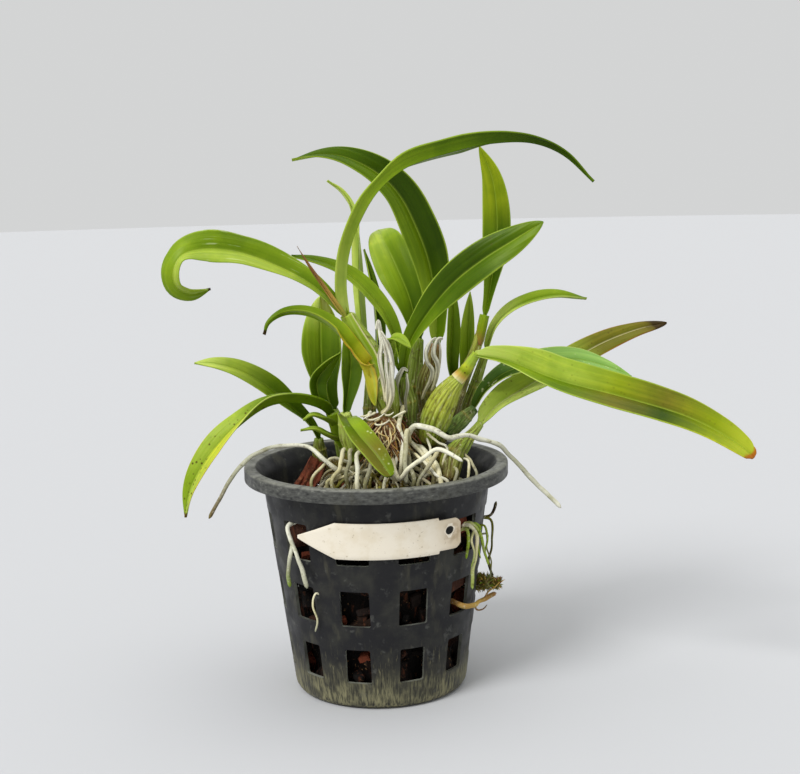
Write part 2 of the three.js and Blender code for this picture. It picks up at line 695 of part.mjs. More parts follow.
// The potting mix: a core with angular chunks sunk into its side and top.
function pottingMix(grow = 0) {
  const random = seeded(MIX.seed);
  const inner = (z) => potRadius(z) - POT.wall - MIX.coreInset;
  const core = [[0, 5], [inner(5), 5], [inner(MIX.level), MIX.level - 8 + grow]];
  for (const r of [26, 15, 6]) {
    core.push([r, MIX.level - 5 + grow + (MIX.moundHeight - 3) * Math.exp(-((r / 27) ** 2))]);
  }
  core.push([0, MIX.level + MIX.moundHeight - 7 + grow]);
  const pieces = [turned(core, 14)];
  const layers = [14, 37, 59, 81];
  layers.forEach((z, layer) => {
    const around = 8 + layer;
    for (let i = 0; i < around; i++) {
      const angle = (2 * Math.PI * (i + (layer % 2) / 2 + 0.3 * random())) / around;
      const r = potRadius(z) - 9.5 + 3 * random();
      const size = [11 + 6 * random(), 8 + 5 * random(), 12 + 6 * random()];
      const centre = [r * Math.cos(angle), r * Math.sin(angle), z + 4 * random()];
      pieces.push(chunk(size, centre, randomTurn(random), random, grow));
    }
  });
  for (let i = 0; i < 13; i++) {
    const angle = i * 2.4;
    const r = 12 + 31 * Math.sqrt(i / 13);
    const [x, y] = [r * Math.cos(angle), r * Math.sin(angle)];
    const size = [9 + 6 * random(), 6 + 4 * random(), 9 + 5 * random()];
    pieces.push(chunk(size, [x, y, moundSurface(x, y) - 5], randomTurn(random), random, grow));
  }
  return union(pieces);
}

function barkPiece({ size, centre, lean, seed }, grow = 0) {
  const turn = new THREE.Quaternion().setFromUnitVectors(UP, vector(lean).normalize());
  return chunk(size, centre, turn, seeded(seed), grow);
}

function rhizome(grow = 0) {
  const branch = ({ path, radius }) => stem(path, radius, { sides: 6, steps: path.length + 1, grow });
  return union(RHIZOME.map(branch));
}

// Roots start on a crown line that runs just under the rhizome.
function crownLine(path) {
  return path.map(([x, y, z]) => [x, y, z - CROWN_DROP]);
}

function skirtRoots() {
  const random = seeded(ROOT_SKIRT.seed);
  const crown = curveThrough(crownLine(RHIZOME[0].path));
  const [near, far] = ROOT_SKIRT.reach;
  const [thin, thick] = ROOT_SKIRT.radius;
  const roots = [];
  for (let i = 0; i < ROOT_SKIRT.count; i++) {
    const start = crown.getPointAt(0.15 + 0.78 * ((i * 0.618) % 1));
    const azimuth = -Math.PI / 2 + (i % 4 ? 2 : 5.6) * (random() - 0.5);
    const reach = near + (far - near) * random();
    const wander = 8 * (random() - 0.5);
    const path = [start.toArray()];
    for (const share of [0.3, 0.65, 1]) {
      const bend = wander * Math.sin(3 * share);
      let x = start.x + reach * share * Math.cos(azimuth) - bend * Math.sin(azimuth);
      let y = start.y + reach * share * Math.sin(azimuth) + bend * Math.cos(azimuth);
      const inside = Math.min(1, 46 / Math.hypot(x, y));
      x *= inside;
      y *= inside;
      const lift = share < 1 ? ROOT_SKIRT.lift + 3 * random() : -1;
      path.push([x, y, moundSurface(x, y) + lift]);
    }
    const radius = thin + (thick - thin) * random();
    roots.push({ path, radius });
  }
  return roots;
}

function rootMass() {
  const crown = stem(crownLine(RHIZOME[0].path), CROWN_RADIUS, { steps: 8 });
  const features = FEATURE_ROOTS.map(({ path, radius }) => stem(path, radius, { steps: path.length + 2 }));
  const skirt = skirtRoots().map(({ path, radius }) => stem(path, radius, { steps: 5 }));
  return union([crown, ...features, ...skirt]);
}

function rootBundle(list, grow = 0) {
  return union(list.map(({ path, radius }) => stem(path, radius, { steps: 5, grow })));
}

function mossClump() {
  const lump = ([x, y, z, r]) => solidOf(new THREE.IcosahedronGeometry(r, 1).translate(x, y, z));
  return union(MOSS_LUMPS.map(lump));
}

const part = new THREE.Group();

function addPiece(name, solid, color, roughness) {
  const material = new THREE.MeshStandardMaterial({ color, roughness, metalness: 0 });
  const piece = new THREE.Mesh(geometryOf(mainBody(solid)), material);
  piece.name = name;
  part.add(piece);
}

// Each later piece is cut back by the clearance wherever it would touch an earlier one.
let taken = rhizome(CLEARANCE);

function place(name, make, color, roughness) {
  addPiece(name, make(0).subtract(taken), color, roughness);
  taken = taken.add(make(CLEARANCE));
}

addPiece("pot", potBody().subtract(potOpenings()), COLOURS.pot, 0.6);
addPiece("label", labelPlate(), COLOURS.label, 0.5);
addPiece("rhizome", rhizome(), COLOURS.rhizome, 0.8);

for (const [name, { axis, radii }] of Object.entries(BULBS)) {
  const make = (grow) => stem(axis, radii, { sides: BULB_SIDES, steps: BULB_STEPS, rib: BULB_RIB, grow });
  place(name, make, COLOURS.bulb, 0.6);
}
for (const [name, leaf] of Object.entries(LEAVES)) {
  const steps = leaf.midrib.length > 6 ? 12 : 8;
  const make = (grow) => blade(leaf, { thick: LEAF_THICK, edge: LEAF_EDGE, steps, grow });
  place(name, make, COLOURS.leaf, 0.45);
}
for (const [name, sheath] of Object.entries(SHEATHS)) {
  const make = (grow) => blade(sheath, { thick: SHEATH_THICK, edge: SHEATH_THICK, steps: 6, grow });
  place(name, make, name === "bract_brown" ? COLOURS.bract : COLOURS.sheath, 0.9);
}
for (const [name, bark] of Object.entries(BARK)) {
  place(name, (grow) => barkPiece(bark, grow), COLOURS.slab, 0.95);
}

const room = potRoom();
const mixRoom = pottingMix(CLEARANCE).intersect(room);
addPiece("roots", rootMass().subtract(taken).subtract(mixRoom), COLOURS.root, 0.85);
for (const [name, list] of Object.entries(WINDOW_ROOTS)) {
  place(name, (grow) => rootBundle(list, grow), COLOURS.root, 0.85);
}
addPiece("moss_clump", mossClump().subtract(taken), COLOURS.moss, 1);
taken = taken.add(mossClump());
addPiece("potting_mix", pottingMix().intersect(room).subtract(taken), COLOURS.mix, 0.95);

export default part;
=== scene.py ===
"""A potted cattleya orchid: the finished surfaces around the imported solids.

The tables hold the measures of the solids in millimetres, in the same frame: the origin is the
centre of the pot's flat underside, +Z is up and the front of the plant faces -Y.
"""

import math

import bmesh
import bpy
import numpy as np
from mathutils import Matrix, Vector, noise


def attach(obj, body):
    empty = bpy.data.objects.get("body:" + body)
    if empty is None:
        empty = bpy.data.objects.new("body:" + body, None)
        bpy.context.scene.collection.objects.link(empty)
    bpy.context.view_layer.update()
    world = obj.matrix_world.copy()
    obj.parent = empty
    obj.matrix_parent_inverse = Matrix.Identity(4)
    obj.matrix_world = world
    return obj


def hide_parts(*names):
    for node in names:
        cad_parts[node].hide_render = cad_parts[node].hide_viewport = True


bl_info = {
    "name": "Potted cattleya orchid",
    "version": (1, 0, 0),
    "blender": (4, 5, 0),
    "location": "View3D > Sidebar > Orchid",
    "description": "Builds a cattleya orchid in a slotted pot, with its label, roots and bark",
    "category": "Add Mesh",
}

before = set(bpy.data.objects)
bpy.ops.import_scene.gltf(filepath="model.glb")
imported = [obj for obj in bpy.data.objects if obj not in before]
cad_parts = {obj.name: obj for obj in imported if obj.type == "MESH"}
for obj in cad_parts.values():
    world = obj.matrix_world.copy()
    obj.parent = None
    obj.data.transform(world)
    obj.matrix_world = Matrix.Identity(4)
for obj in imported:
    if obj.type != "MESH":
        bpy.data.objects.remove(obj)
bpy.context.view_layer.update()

MM = 0.001
SPECK_BROWN, SPECK_PALE = "#4a3812", "#dfe3b0"

# ---------------------------------------------------------------- measures of the solids

POT_PROFILE_NECK = 101.7
POT_WALL = 1.7
MIX_TOP = 98
WINDOW_START_DEG = 20
WINDOW_ROWS = ((21.3, 16.5, 11.6), (49.5, 17, 13.6), (79.2, 17.5, 15.4))  # z, height, width
WINDOW_CUT = 14
DRAIN = {"count": 6, "ring": 25, "width": 9, "length": 13, "cut": 9, "corner": 1.2}

LABEL = {
    "z": 82.4, "height": 17.2, "gap": 0.6, "bend_radius": 74, "left": -36.5, "point_length": 18,
    "tab_start": 28.5, "tab_inset": 1.3, "right": 39.5, "hole_x": 34, "hole_rise": 1.8,
    "hole_radius": 2.1, "lean_deg": 7.3, "chamfer": 3, "blunt": 0.8,
}

MIX = {
    "level": 88, "mound": 18, "centre": (5, 0), "reach": (32, 34), "core_inset": 7, "seed": 11,
    "layers": (14, 37, 59, 81), "top_chunks": 13,
}
BARK = {
    "bark_slab": {"size": (9, 6, 26), "centre": (-33, -14, 100), "lean": (0.47, 0.4, 0.76), "seed": 3},
    "bark_chip": {"size": (12, 8, 7), "centre": (24, -34, 96), "lean": (0.3, 0.2, 0.9), "seed": 5},
}

RHIZOME = (
    (3.2, ((-27, 21, 101), (-18, 6, 106), (-9, -5, 112), (6, -5, 124), (17, 0, 122), (27, -1, 115),
           (34, -13, 107), (34, -21, 101))),
    (3.2, ((17, 0, 122), (26, 11, 127), (36, 20, 123), (41, 27, 118))),
    (3.2, ((6, -5, 124), (2, 10, 120), (-3, 25, 114), (-12, 26, 111))),
    (3.2, ((2, 10, 120), (10, 20, 119), (18, 27, 116))),
    (3.2, ((27, -1, 115), (33, 4, 118))),
    (4.8, ((6, -7, 130), (5, -12, 126), (8, -14, 119))),
)

# Pseudobulbs and stems: the solid's axis and radii, then the number and depth of the ribs, the
# places of the joints, and the flesh's tints from the foot up.
BULBS = {
    "stem_sheathed": {
        "axis": ((8, -8, 129), (5, -12, 143), (1, -14, 157), (-6, -15, 170), (-11, -16, 180)),
        "radii": (4.2, 6.6, 5.8, 4.8, 3), "ribs": 13, "depth": 0.07, "joints": (0.32,),
        "tints": "olive fresh fresh light light", "ribbed_to": 0.42,
    },
    "bulb_middle": {
        "axis": ((16, -2, 125), (15, -3, 138), (14, -4, 149)), "radii": (4, 4.8, 2.2),
        "ribs": 11, "depth": 0.1, "joints": (0.5,),
        "tints": "seagreen green fresh",
    },
    "bulb_old": {
        "axis": ((26, 11, 129), (25, 11, 145), (28, 12, 154), (30, 12, 162)),
        "radii": (4.8, 5, 3.6, 2.4), "ribs": 11, "depth": 0.13, "joints": (0.3, 0.7),
        "tints": "brown olive brown bark",
    },
    "bulb_big": {
        "axis": ((25, -4, 117), (31, -8, 135), (36, -10, 144), (41, -11, 150), (48, -12, 160)),
        "radii": (4.8, 7.8, 6.4, 2.8, 1.7), "ribs": 17, "depth": 0.1, "joints": (0.66,),
        "tints": "olive fresh lime lime light lime",
    },
    "bulb_teal": {
        "axis": ((34, 5, 119), (41, 7, 125), (48, 8, 131)), "radii": (3.6, 4, 2.2),
        "ribs": 10, "depth": 0.1, "joints": (0.7,),
        "tints": "seagreen sea seagreen",
    },
    "bulb_low": {
        "axis": ((33, -22, 102), (36, -16, 112), (41, -10, 117), (47, -3, 122), (50, 0, 125)),
        "radii": (4.6, 5.6, 4.8, 2.8, 1.9), "ribs": 14, "depth": 0.12, "joints": (0.36, 0.68),
        "tints": "brown olive fresh light light",
    },
    "stem_right": {
        "axis": ((36, 17, 125), (44, 18, 146), (50, 20, 160), (54, 22, 174)),
        "radii": (3.8, 3.4, 2.5, 2), "ribs": 9, "depth": 0.08, "joints": (0.25, 0.55, 0.8),
        "tints": "brown olive olive lime lime",
    },
    "stem_far_right": {
        "axis": ((42, 28, 120), (50, 27, 142), (55, 26, 157)), "radii": (3.2, 2.8, 1.9),
        "ribs": 9, "depth": 0.08, "joints": (0.5,),
        "tints": "olive fresh light",
    },
    "stem_left": {
        "axis": ((-27, 21, 102), (-28, 20, 109), (-28, 19, 116)), "radii": (3.8, 3.6, 2.2),
        "ribs": 9, "depth": 0.08, "joints": (0.6,),
        "tints": "brown olive fresh",
    },
    "stem_fan": {
        "axis": ((-15, 4, 107), (-17, 2, 120), (-20, -1, 132)), "radii": (3.4, 3.2, 2.8),
        "ribs": 8, "depth": 0.07, "joints": (0.4, 0.75),
        "tints": "dark green fresh",
    },
    "bulb_front": {
        "axis": ((-9, -10, 111), (-12, -12, 124), (-14, -14, 134)), "radii": (3.6, 5.2, 3),
        "ribs": 9, "depth": 0.09, "joints": (0.78,),
        "tints": "fresh light pale",
    },
    "bulb_back": {
        "axis": ((18, 27, 116), (19, 27, 140), (22, 28, 163)), "radii": (4, 5, 2.4),
        "ribs": 10, "depth": 0.1, "joints": (0.5,),
        "tints": "olive green fresh",
    },
    "bulb_back_left": {
        "axis": ((-13, 26, 111), (-17, 23, 120), (-21, 20, 130)), "radii": (3.4, 4, 2.4),
        "ribs": 10, "depth": 0.1, "joints": (0.6,),
        "tints": "olive green fresh",
    },
    "bulb_narrow": {
        "axis": ((37, 29, 116), (38, 33, 126), (41, 32, 133)), "radii": (3, 3.2, 2.4),
        "ribs": 9, "depth": 0.09, "joints": (0.6,),
        "tints": "olive green fresh",
    },
    "stem_thin": {
        "axis": ((-3, 26, 115), (-3, 27, 130), (-3, 28, 143)), "radii": (3, 3.4, 1.8),
        "ribs": 9, "depth": 0.09, "joints": (0.5,),
        "tints": "olive green fresh",
    },
}

# Leaves: the solid's own measures, then the tints from base to tip of the upper face's two halves,
# of the lower face and of the margin; the tints are partly painted light and shade: a lit half and a
# shaded half, and darker stretches where other leaves cast their shadow. "end" is where a withered
# tip starts, and its tint. Specks are brown below nought and pale above it.
LEAVES = {
    "leaf_arching": {
        "width": 13, "widest": 0.45, "base": 0.75, "fold": (62, 40, 30, 22, 15), "tip": 1,
        "midrib": ((-11, -16, 179), (-12, -19, 194), (-10, -20, 209), (-5, -20, 222), (4, -18, 236),
                   (17, -14, 246), (36, -9, 252), (56, -4, 256), (76, 2, 256), (91, 6, 250), (105, 9, 237)),
        "face": ((-1, -0.2, 0.2), (-0.9, 0, 0.3), (-0.6, 0.5, 0.6), (0, 0.75, 0.65), (0.1, 0.3, 0.95),
                 (0.6, 0.2, 0.8)),
        "left": "light pale light green dark deep deep dark",
        "right": "fresh fresh light green dark deep dark dark",
        "seam": (0, 0, 0.1, 0.9, 0, 0, 0, 0, 0), "waist": (0.36, 0.3),
        "under": "pale light fresh green dark deep dark",
        "edge": "pale light light light green green",
    },
    "leaf_curled": {
        "width": 18.5, "widest": 0.55, "base": 0.4, "fold": (45, 16, 20), "tip": 0.8,
        "midrib": ((-11, -16, 178), (-26, -19, 193.5), (-47, -24, 205.5), (-62, -28, 210.5),
                   (-74, -31, 211.5), (-82.5, -34, 209), (-86, -35, 203), (-85.5, -34, 196),
                   (-80, -32, 192.5), (-71, -30, 194)),
        "face": ((-0.3, -0.6, 0.8), (-0.1, -0.75, 0.8), (-0.2, -0.75, 0.8), (-1, -0.7, 0.1), (0, -0.8, -0.8)),
        "left": "fresh light light light fresh", "right": "fresh fresh green fresh green",
        "under": "light light pale light", "end": (0.985, "umber"), "gloss": 0.5,
    },
    "leaf_yellowing": {
        "width": 11, "widest": 0.25, "base": 0.8, "fold": (60, 45, 40), "tip": 1.1,
        "midrib": ((2, -15, 146), (-4, -21, 156), (-10, -22, 165), (-17, -22, 174), (-28, -24, 181),
                   (-39, -27, 182), (-46, -29, 178), (-48, -30, 173)),
        "face": ((-0.5, -0.2, 0.8), (-0.2, -0.4, 1), (-0.6, -0.4, 0.6)),
        "left": "yellow yellow gold moss green green green",
        "right": "gold gold moss fresh fresh green green",
        "edge": "straw straw amber lime light green green",
        "under": "yellow gold moss fresh fresh green green", "end": (0.975, "umber"),
    },
    "leaf_back_left": {
        "width": 22, "widest": 0.5, "base": 0.45, "fold": (50, 28, 22), "tip": 0.8,
        "midrib": ((-21, 20, 129), (-25, 23, 144), (-26, 27, 158), (-26, 31, 172), (-26, 35, 184)),
        "face": ((0.3, -1, 0.2), (0.1, -1, 0.2), (0.1, -0.8, 0.6)),
        "left": "dark green fresh pale", "right": "deep dark green olive",
    },
    "leaf_fan_short": {
        "width": 10, "widest": 0.45, "base": 0.5, "fold": (45, 22, 15), "tip": 1,
        "midrib": ((-20, 0, 130), (-26, -1, 139), (-27, 0, 147), (-22, -1, 154), (-15, -3, 161)),
        "face": ((0.5, -0.9, 0), (0.4, -0.8, -0.3)),
        "left": "deep dark green",
    },
    "leaf_low_left": {
        "width": 13, "widest": 0.5, "base": 0.4, "fold": (55, 22, 14), "tip": 0.75,
        "midrib": ((-28, 19, 115), (-32, 17, 123), (-41, 13, 133), (-52, 9, 144), (-64, 5, 152),
                   (-75, 1, 156), (-84, -1, 157)),
        "face": ((0.2, -0.7, 0.7), (0.2, -0.75, 0.7), (0, -0.6, 0.8)),
        "left": "dark dark green light pale", "under": "green light pale",
    },
    "leaf_drooping": {
        "width": 13.5, "widest": 0.62, "base": 0.55, "fold": (55, 30, 20), "tip": 0.9,
        "midrib": ((-20, -1, 131), (-27, -8, 137), (-37, -12, 140), (-49, -16, 139), (-62, -22, 131),
                   (-75, -26, 118), (-84, -29, 103), (-87, -30, 90)),
        "face": ((0, 0.2, 1), (-0.1, 0.1, 1), (-0.5, -0.8, 0.5), (-0.8, -0.9, 0.3)),
        "left": "deep deep fresh lime lime light light", "right": "deep deep green light light fresh fresh",
        "edge": "green fresh pale pale yellow yellow pale", "under": "dark green fresh light",
        "specks": -0.9, "end": (0.975, "brown"),
    },
    "leaf_tiny_upper": {
        "width": 5, "widest": 0.4, "base": 0.6, "fold": (40, 20, 10), "tip": 1,
        "midrib": ((-18, 0, 125), (-24, -9, 131), (-29, -12, 133), (-33, -14, 131)),
        "face": ((0.2, -0.4, 1), (-0.3, -0.4, 1)),
        "left": "green fresh light",
    },
    "leaf_tiny_lower": {
        "width": 5, "widest": 0.4, "base": 0.6, "fold": (40, 20, 10), "tip": 1,
        "midrib": ((-17, 1, 118), (-22, -10, 123), (-28, -15, 127), (-34, -18, 127)),
        "face": ((0.2, -0.4, 1), (-0.1, -0.5, 1)),
        "left": "green fresh light",
    },
    "leaf_thin": {
        "width": 9, "widest": 0.45, "base": 0.5, "fold": (65, 60, 50), "tip": 1,
        "midrib": ((-3, 28, 142), (-4, 31, 163), (-5, 36, 183), (-6, 40, 204), (-8, 42, 222),
                   (-14, 42, 234), (-21, 40, 240)),
        "face": ((-0.9, -0.5, 0.1), (-0.9, -0.6, 0), (0.6, -0.5, 0.6)),
        "left": "light pale pale pale", "under": "light pale pale",
    },
    "leaf_thin_dark": {
        "width": 9, "widest": 0.4, "base": 0.5, "fold": (60, 50, 40), "tip": 1,
        "midrib": ((-3, 28, 142), (1, 30, 158), (1, 33, 176), (-1, 37, 191), (-4, 41, 206)),
        "face": ((0.7, -0.7, 0.1), (0.6, -0.8, 0.1)),
        "left": "deep dark green",
    },
    "leaf_broad": {
        "width": 21.5, "widest": 0.36, "base": 0.45, "fold": (45, 24, 16), "tip": 1.05,
        "midrib": ((30, 12, 161), (30, 14, 180), (27, 16, 201), (21, 16, 218), (14, 13, 232), (6, 9, 241),
                   (-3, 6, 247), (-13, 4, 251), (-23, 1, 252), (-35, -1, 250)),
        "face": ((0.1, -1, 0.1), (0.2, -1, 0.2), (0.3, -0.9, 0.5), (0.1, -0.5, 1)),
        "left": "light fresh green green green dark dark", "right": "green dark deep deep deep dark dark",
        "midrib_colour": "light", "under": "light fresh light", "wave": (0.7, 22),
    },
    "leaf_recurved": {
        "width": 21, "widest": 0.5, "base": 0.4, "fold": (40, 18, 12), "tip": 0.9,
        "midrib": ((22, 28, 162), (18, 30, 182), (13, 34, 195), (8, 41, 206), (5, 50, 212), (3, 62, 214)),
        "face": ((-0.1, -1, 0.2), (-0.2, -1, 0.3), (-0.2, -0.4, 1)),
        "left": "dark green fresh light light", "right": "dark dark green fresh light", "wave": (0.5, 26),
    },
    "leaf_diagonal": {
        "width": 18, "widest": 0.62, "base": 0.35, "fold": (50, 12, 8), "tip": 0.7,
        "midrib": ((14, -4, 148), (17, -7, 164), (26, -11, 179), (38, -15, 193), (52, -19, 204),
                   (65, -21, 212), (78, -23, 220)),
        "face": ((-0.5, -1, 0.3), (-0.4, -1, 0.3), (-0.3, -1, 0.4)),
        "left": "green green dark deep deep dark green", "right": "fresh green green dark dark green green",
        "edge": "light", "specks": -0.3,
    },
    "leaf_upright": {
        "width": 14.5, "widest": 0.5, "base": 0.35, "fold": (50, 18, 12), "tip": 0.85,
        "midrib": ((54, 22, 173), (57, 24, 187), (60, 26, 204), (61, 28, 222), (59, 30, 240), (53, 32, 255)),
        "face": ((-0.2, -1, 0.1), (-0.2, -1, 0.1), (-0.4, -1, 0)),
        "left": "fresh green dark green moss moss moss", "right": "green dark deep dark moss moss moss",
        "edge": "light",
    },
    "leaf_right_arch": {
        "width": 9.5, "widest": 0.5, "base": 0.5, "fold": (50, 28, 20), "tip": 1,
        "midrib": ((55, 26, 156), (59, 27, 167), (66, 30, 174), (77, 34, 179), (91, 38, 181), (106, 42, 179)),
        "face": ((-0.4, -0.8, 0.7), (-0.2, -0.6, 1), (0.2, -0.5, 1)),
        "left": "light pale fresh fresh green", "edge": "pale",
    },
    "leaf_brown_tip": {
        "width": 17, "widest": 0.22, "base": 0.65, "fold": (45, 16, 12), "tip": 0.6,
        "midrib": ((50, 0, 124), (58, 4, 132), (72, 12, 139), (91, 20, 148), (111, 26, 158), (129, 30, 164),
                   (144, 32, 167)),
        "face": ((-0.4, -0.8, 0.6), (-0.3, -0.8, 0.7), (-0.2, -0.8, 0.7)),
        "left": "pale light light light olive olive brown", "right": "pale pale pale light olive olive brown",
        "midrib_colour": "cream", "edge": "light light light amber brown", "end": (0.9, "umber"),
        "specks": -0.5,
    },
    "leaf_big_front": {
        "width": 22.5, "widest": 0.26, "base": 0.42, "fold": (45, 20, 16), "tip": 0.34,
        "midrib": ((47, -12, 159), (60, -15, 157), (84, -22, 148), (111, -29, 141), (138, -36, 133),
                   (151, -40, 127), (162, -44, 120), (168, -46, 115)),
        "face": ((0.2, -0.75, 0.7), (0.2, -0.75, 0.7), (0.3, -0.8, 0.6)),
        "left": "pale light light moss olive moss lime", "right": "green fresh green olive deep moss lime",
        "end": (0.972, "amber"), "edge": "pale pale light light lime yellow", "specks": -0.25, "torn": 0.5,
    },
    "leaf_teal": {
        "width": 14.5, "widest": 0.5, "base": 0.4, "fold": (45, 20, 15), "tip": 0.85,
        "midrib": ((47, 8, 130), (53, 8, 140), (62, 8, 147), (79, 9, 152), (96, 8, 153), (109, 6, 150),
                   (122, 4, 145)),
        "face": ((-0.4, -0.7, 0.6), (0, -0.6, 0.8), (0.2, -0.6, 0.8)),
        "left": "deep seagreen sea sea sea", "right": "deep deep seagreen sea sea", "edge": "pale",
        "specks": 0.4,
    },
    "leaf_narrow_a": {
        "width": 9.5, "widest": 0.45, "base": 0.45, "fold": (50, 35, 25), "tip": 0.9,
        "midrib": ((41, 32, 132), (37, 27, 148), (38, 27, 167), (39, 29, 190)),
        "face": ((0.6, -0.9, 0), (0.4, -1, 0)),
        "left": "dark green fresh",
    },
    "leaf_narrow_b": {
        "width": 9.5, "widest": 0.45, "base": 0.45, "fold": (50, 35, 25), "tip": 0.9,
        "midrib": ((41, 32, 132), (46, 35, 148), (47, 37, 166), (48, 39, 184)),
        "face": ((-0.5, -0.9, 0.1), (-0.3, -1, 0.1)),
        "left": "green fresh light",
    },
    "leaf_young": {
        "width": 7, "widest": 0.72, "base": 0.22, "fold": (60, 40, 14), "tip": 0.8,
        "midrib": ((14, -4, 148), (9, -11, 160), (8, -17, 167), (12, -22, 168.5), (17.5, -26, 165)),
        "face": ((-0.5, -1, 0.4), (0, -0.6, 1), (0.3, -0.7, 0.8)),
        "left": "green fresh light",
    },
    "leaf_inner": {
        "width": 11, "widest": 0.5, "base": 0.5, "fold": (50, 22, 15), "tip": 0.9,
        "midrib": ((14, -4, 148), (11, 2, 163), (7, 4, 175), (-1, 6, 187), (-12, 6, 197), (-25, 4, 203),
                   (-37, 2, 206)),
        "face": ((0.6, -0.7, 0.4), (0.4, -0.7, 0.7), (0.2, -0.6, 1)),
        "left": "green green fresh fresh green dark",
    },
    "leaf_front_bent": {
        "width": 13.5, "widest": 0.35, "base": 0.7, "fold": (30, 16, 10), "tip": 0.35,
        "midrib": ((-13, -13, 131), (-12, -22, 131), (-7, -30, 126), (0, -38, 119), (7, -45, 110)),
        "face": ((0.2, 0, 1), (0.3, -0.7, 0.8), (0.4, -0.7, 0.7)),
        "left": "light fresh olive green", "right": "olive green olive olive", "edge": "light",
        "specks": 0.45,
    },
    "leaf_dark_left": {
        "width": 12, "widest": 0.5, "base": 0.5, "fold": (50, 30, 22), "tip": 0.85,
        "midrib": ((-14, -14, 133), (-12, -2, 145), (-11, 7, 156), (-13, 13, 168)),
        "face": ((0.3, -1, 0), (0.2, -1, 0.2)),
        "left": "deep dark green fresh",
    },
}

# Dry papery sheaths that hug the solids' blades: the cords and strips each has split into, and for
# the bract one narrow blade.
SHEATHS = {
    "bract_brown": {
        "width": 4, "midrib": ((-11, -18, 177), (-18, -23, 188), (-26, -27, 201), (-32, -29, 212)),
        "face": ((0.3, -1, 0.3), (0.3, -1, 0.3)),
        "widest": 0.2, "base": 0.7, "fold": (50, 55, 30), "tip": 1.3,
        "left": "light straw bark bark", "edge": "amber bark umber umber",
    },
    "sheath_white": (
        (1.15, ((2, -21, 173), (3, -20.5, 177), (3.8, -20.2, 172), (4.3, -20.2, 166), (3.4, -19.8, 160),
                (4, -19.3, 153), (4.8, -18.5, 146), (5, -17, 139))),
        (1.35, ((4, -21, 172.5), (6.8, -20.6, 167), (8.2, -20, 162), (8.8, -19.4, 155), (8.5, -18.6, 148),
                (8.2, -17.6, 141), (6, -16.6, 136), (3, -16, 133.5))),
        (0.9, ((4.6, -21, 170), (6, -20.6, 163), (6.2, -19.8, 155), (6.8, -19, 148), (6, -18, 141),
               (6.5, -16, 135))),
    ),
    "sheath_grey": (
        (1.15, ((16, -8.8, 152), (14, -9, 153.2), (12, -9.3, 150.5), (10.6, -9.2, 146), (10.2, -8.6, 142),
                (11.6, -8.4, 137.5), (14, -8.6, 133))),
        (0.8, ((15.5, -9, 151), (15.8, -9, 145), (14.5, -8.8, 139), (15, -8, 132))),
    ),
    "sheath_curved": (
        (1.05, ((30, 6.2, 165.5), (28, 5.4, 164.5), (25.2, 5, 159.5), (25.4, 4.8, 154.5), (27.6, 4.6, 150.5),
                (26.8, 4.6, 145.5), (24, 5, 140), (22.5, 5.4, 136))),
        (1.15, ((33, 7, 164.8), (31, 6, 165), (28.8, 5.2, 161.5), (28.4, 5, 157.5), (29.8, 5, 154),
                (30.2, 4.8, 150), (29, 4.8, 145), (27, 5, 140))),
        (0.6, ((31, 6.4, 165), (31.8, 6, 160), (31.5, 6, 155), (31, 6.4, 150))),
    ),
}

LEAF_FIELDS = ("millimetres", "sideways", "specks", "gloss")

# Green leaf bases that wrap a stem: the share of the stem's length that each covers, the way it
# faces and half the angle it spans (degrees from the front, positive to the right), low to high.
WRAPS = (
    {"on": "stem_sheathed", "from": 0.3, "to": 1.0, "facing": (-75, -75, -75),
     "spread": (20, 96, 108, 110, 110), "lift": 0.5, "tints": "lime fresh fresh light", "edge": "cream"},
    {"on": "stem_sheathed", "from": 0.2, "to": 0.62, "facing": (-50, -58, -66), "spread": (4, 30, 48, 56, 40),
     "lift": 1.0, "tints": "lime gold yellow yellow yellow", "edge": "straw"},
    {"on": "bulb_big", "from": 0.7, "to": 1.0, "facing": (-20, -20), "spread": (60, 120, 130),
     "lift": 0.3, "tints": "cream straw moss lime light light light", "edge": "bark", "specks": -1.9},
    {"on": "stem_right", "from": 0.72, "to": 1.0, "facing": (30, 20), "spread": (20, 90, 120),
     "lift": 0.3, "tints": "bark moss fresh", "edge": "bark", "specks": -1.6},
    {"on": "stem_fan", "from": 0.3, "to": 1.0, "facing": (20, -10), "spread": (20, 110, 130),
     "lift": 0.4, "tints": "green fresh fresh", "edge": "light"},
)
WRAP_STATIONS, WRAP_POINTS = 46, 41  # along the stem, and across each of the wrap's two faces

FEATURE_ROOTS = (
    ((1.35, 1.35, 1.1, 1.1, 0.95),
     ((12, -3, 117), (14, -13, 121), (19, -20, 128), (27, -25, 127), (34, -25, 123), (42, -18, 123),
      (49, -13, 120), (58, -9, 116), (65, -5, 108), (76, -6, 96), (87, -8, 85))),
    ((1.2, 1.1, 1, 1, 0.85),
     ((-10, -4, 106), (-17, -16, 107), (-24, -18, 113), (-31, -13, 118), (-42, -13, 119), (-51, -18, 118),
      (-60, -26, 114), (-67, -30, 105), (-76, -33, 90))),
    ((1.15, 1.15, 0.95),
     ((7, -4, 117), (8, -22, 112), (11, -37, 107), (15, -43, 113), (21, -42, 117), (28, -40, 121),
      (34, -42, 119), (39, -44, 116))),
    ((1, 1.1, 1), ((15, -2, 116), (16, -16, 121), (15, -20, 126), (14, -24, 116), (14, -29, 103))),
    ((1.3, 1.3, 1.1), ((19, -2, 115), (22, -14, 116), (28, -24, 110), (31, -32, 98))),
)
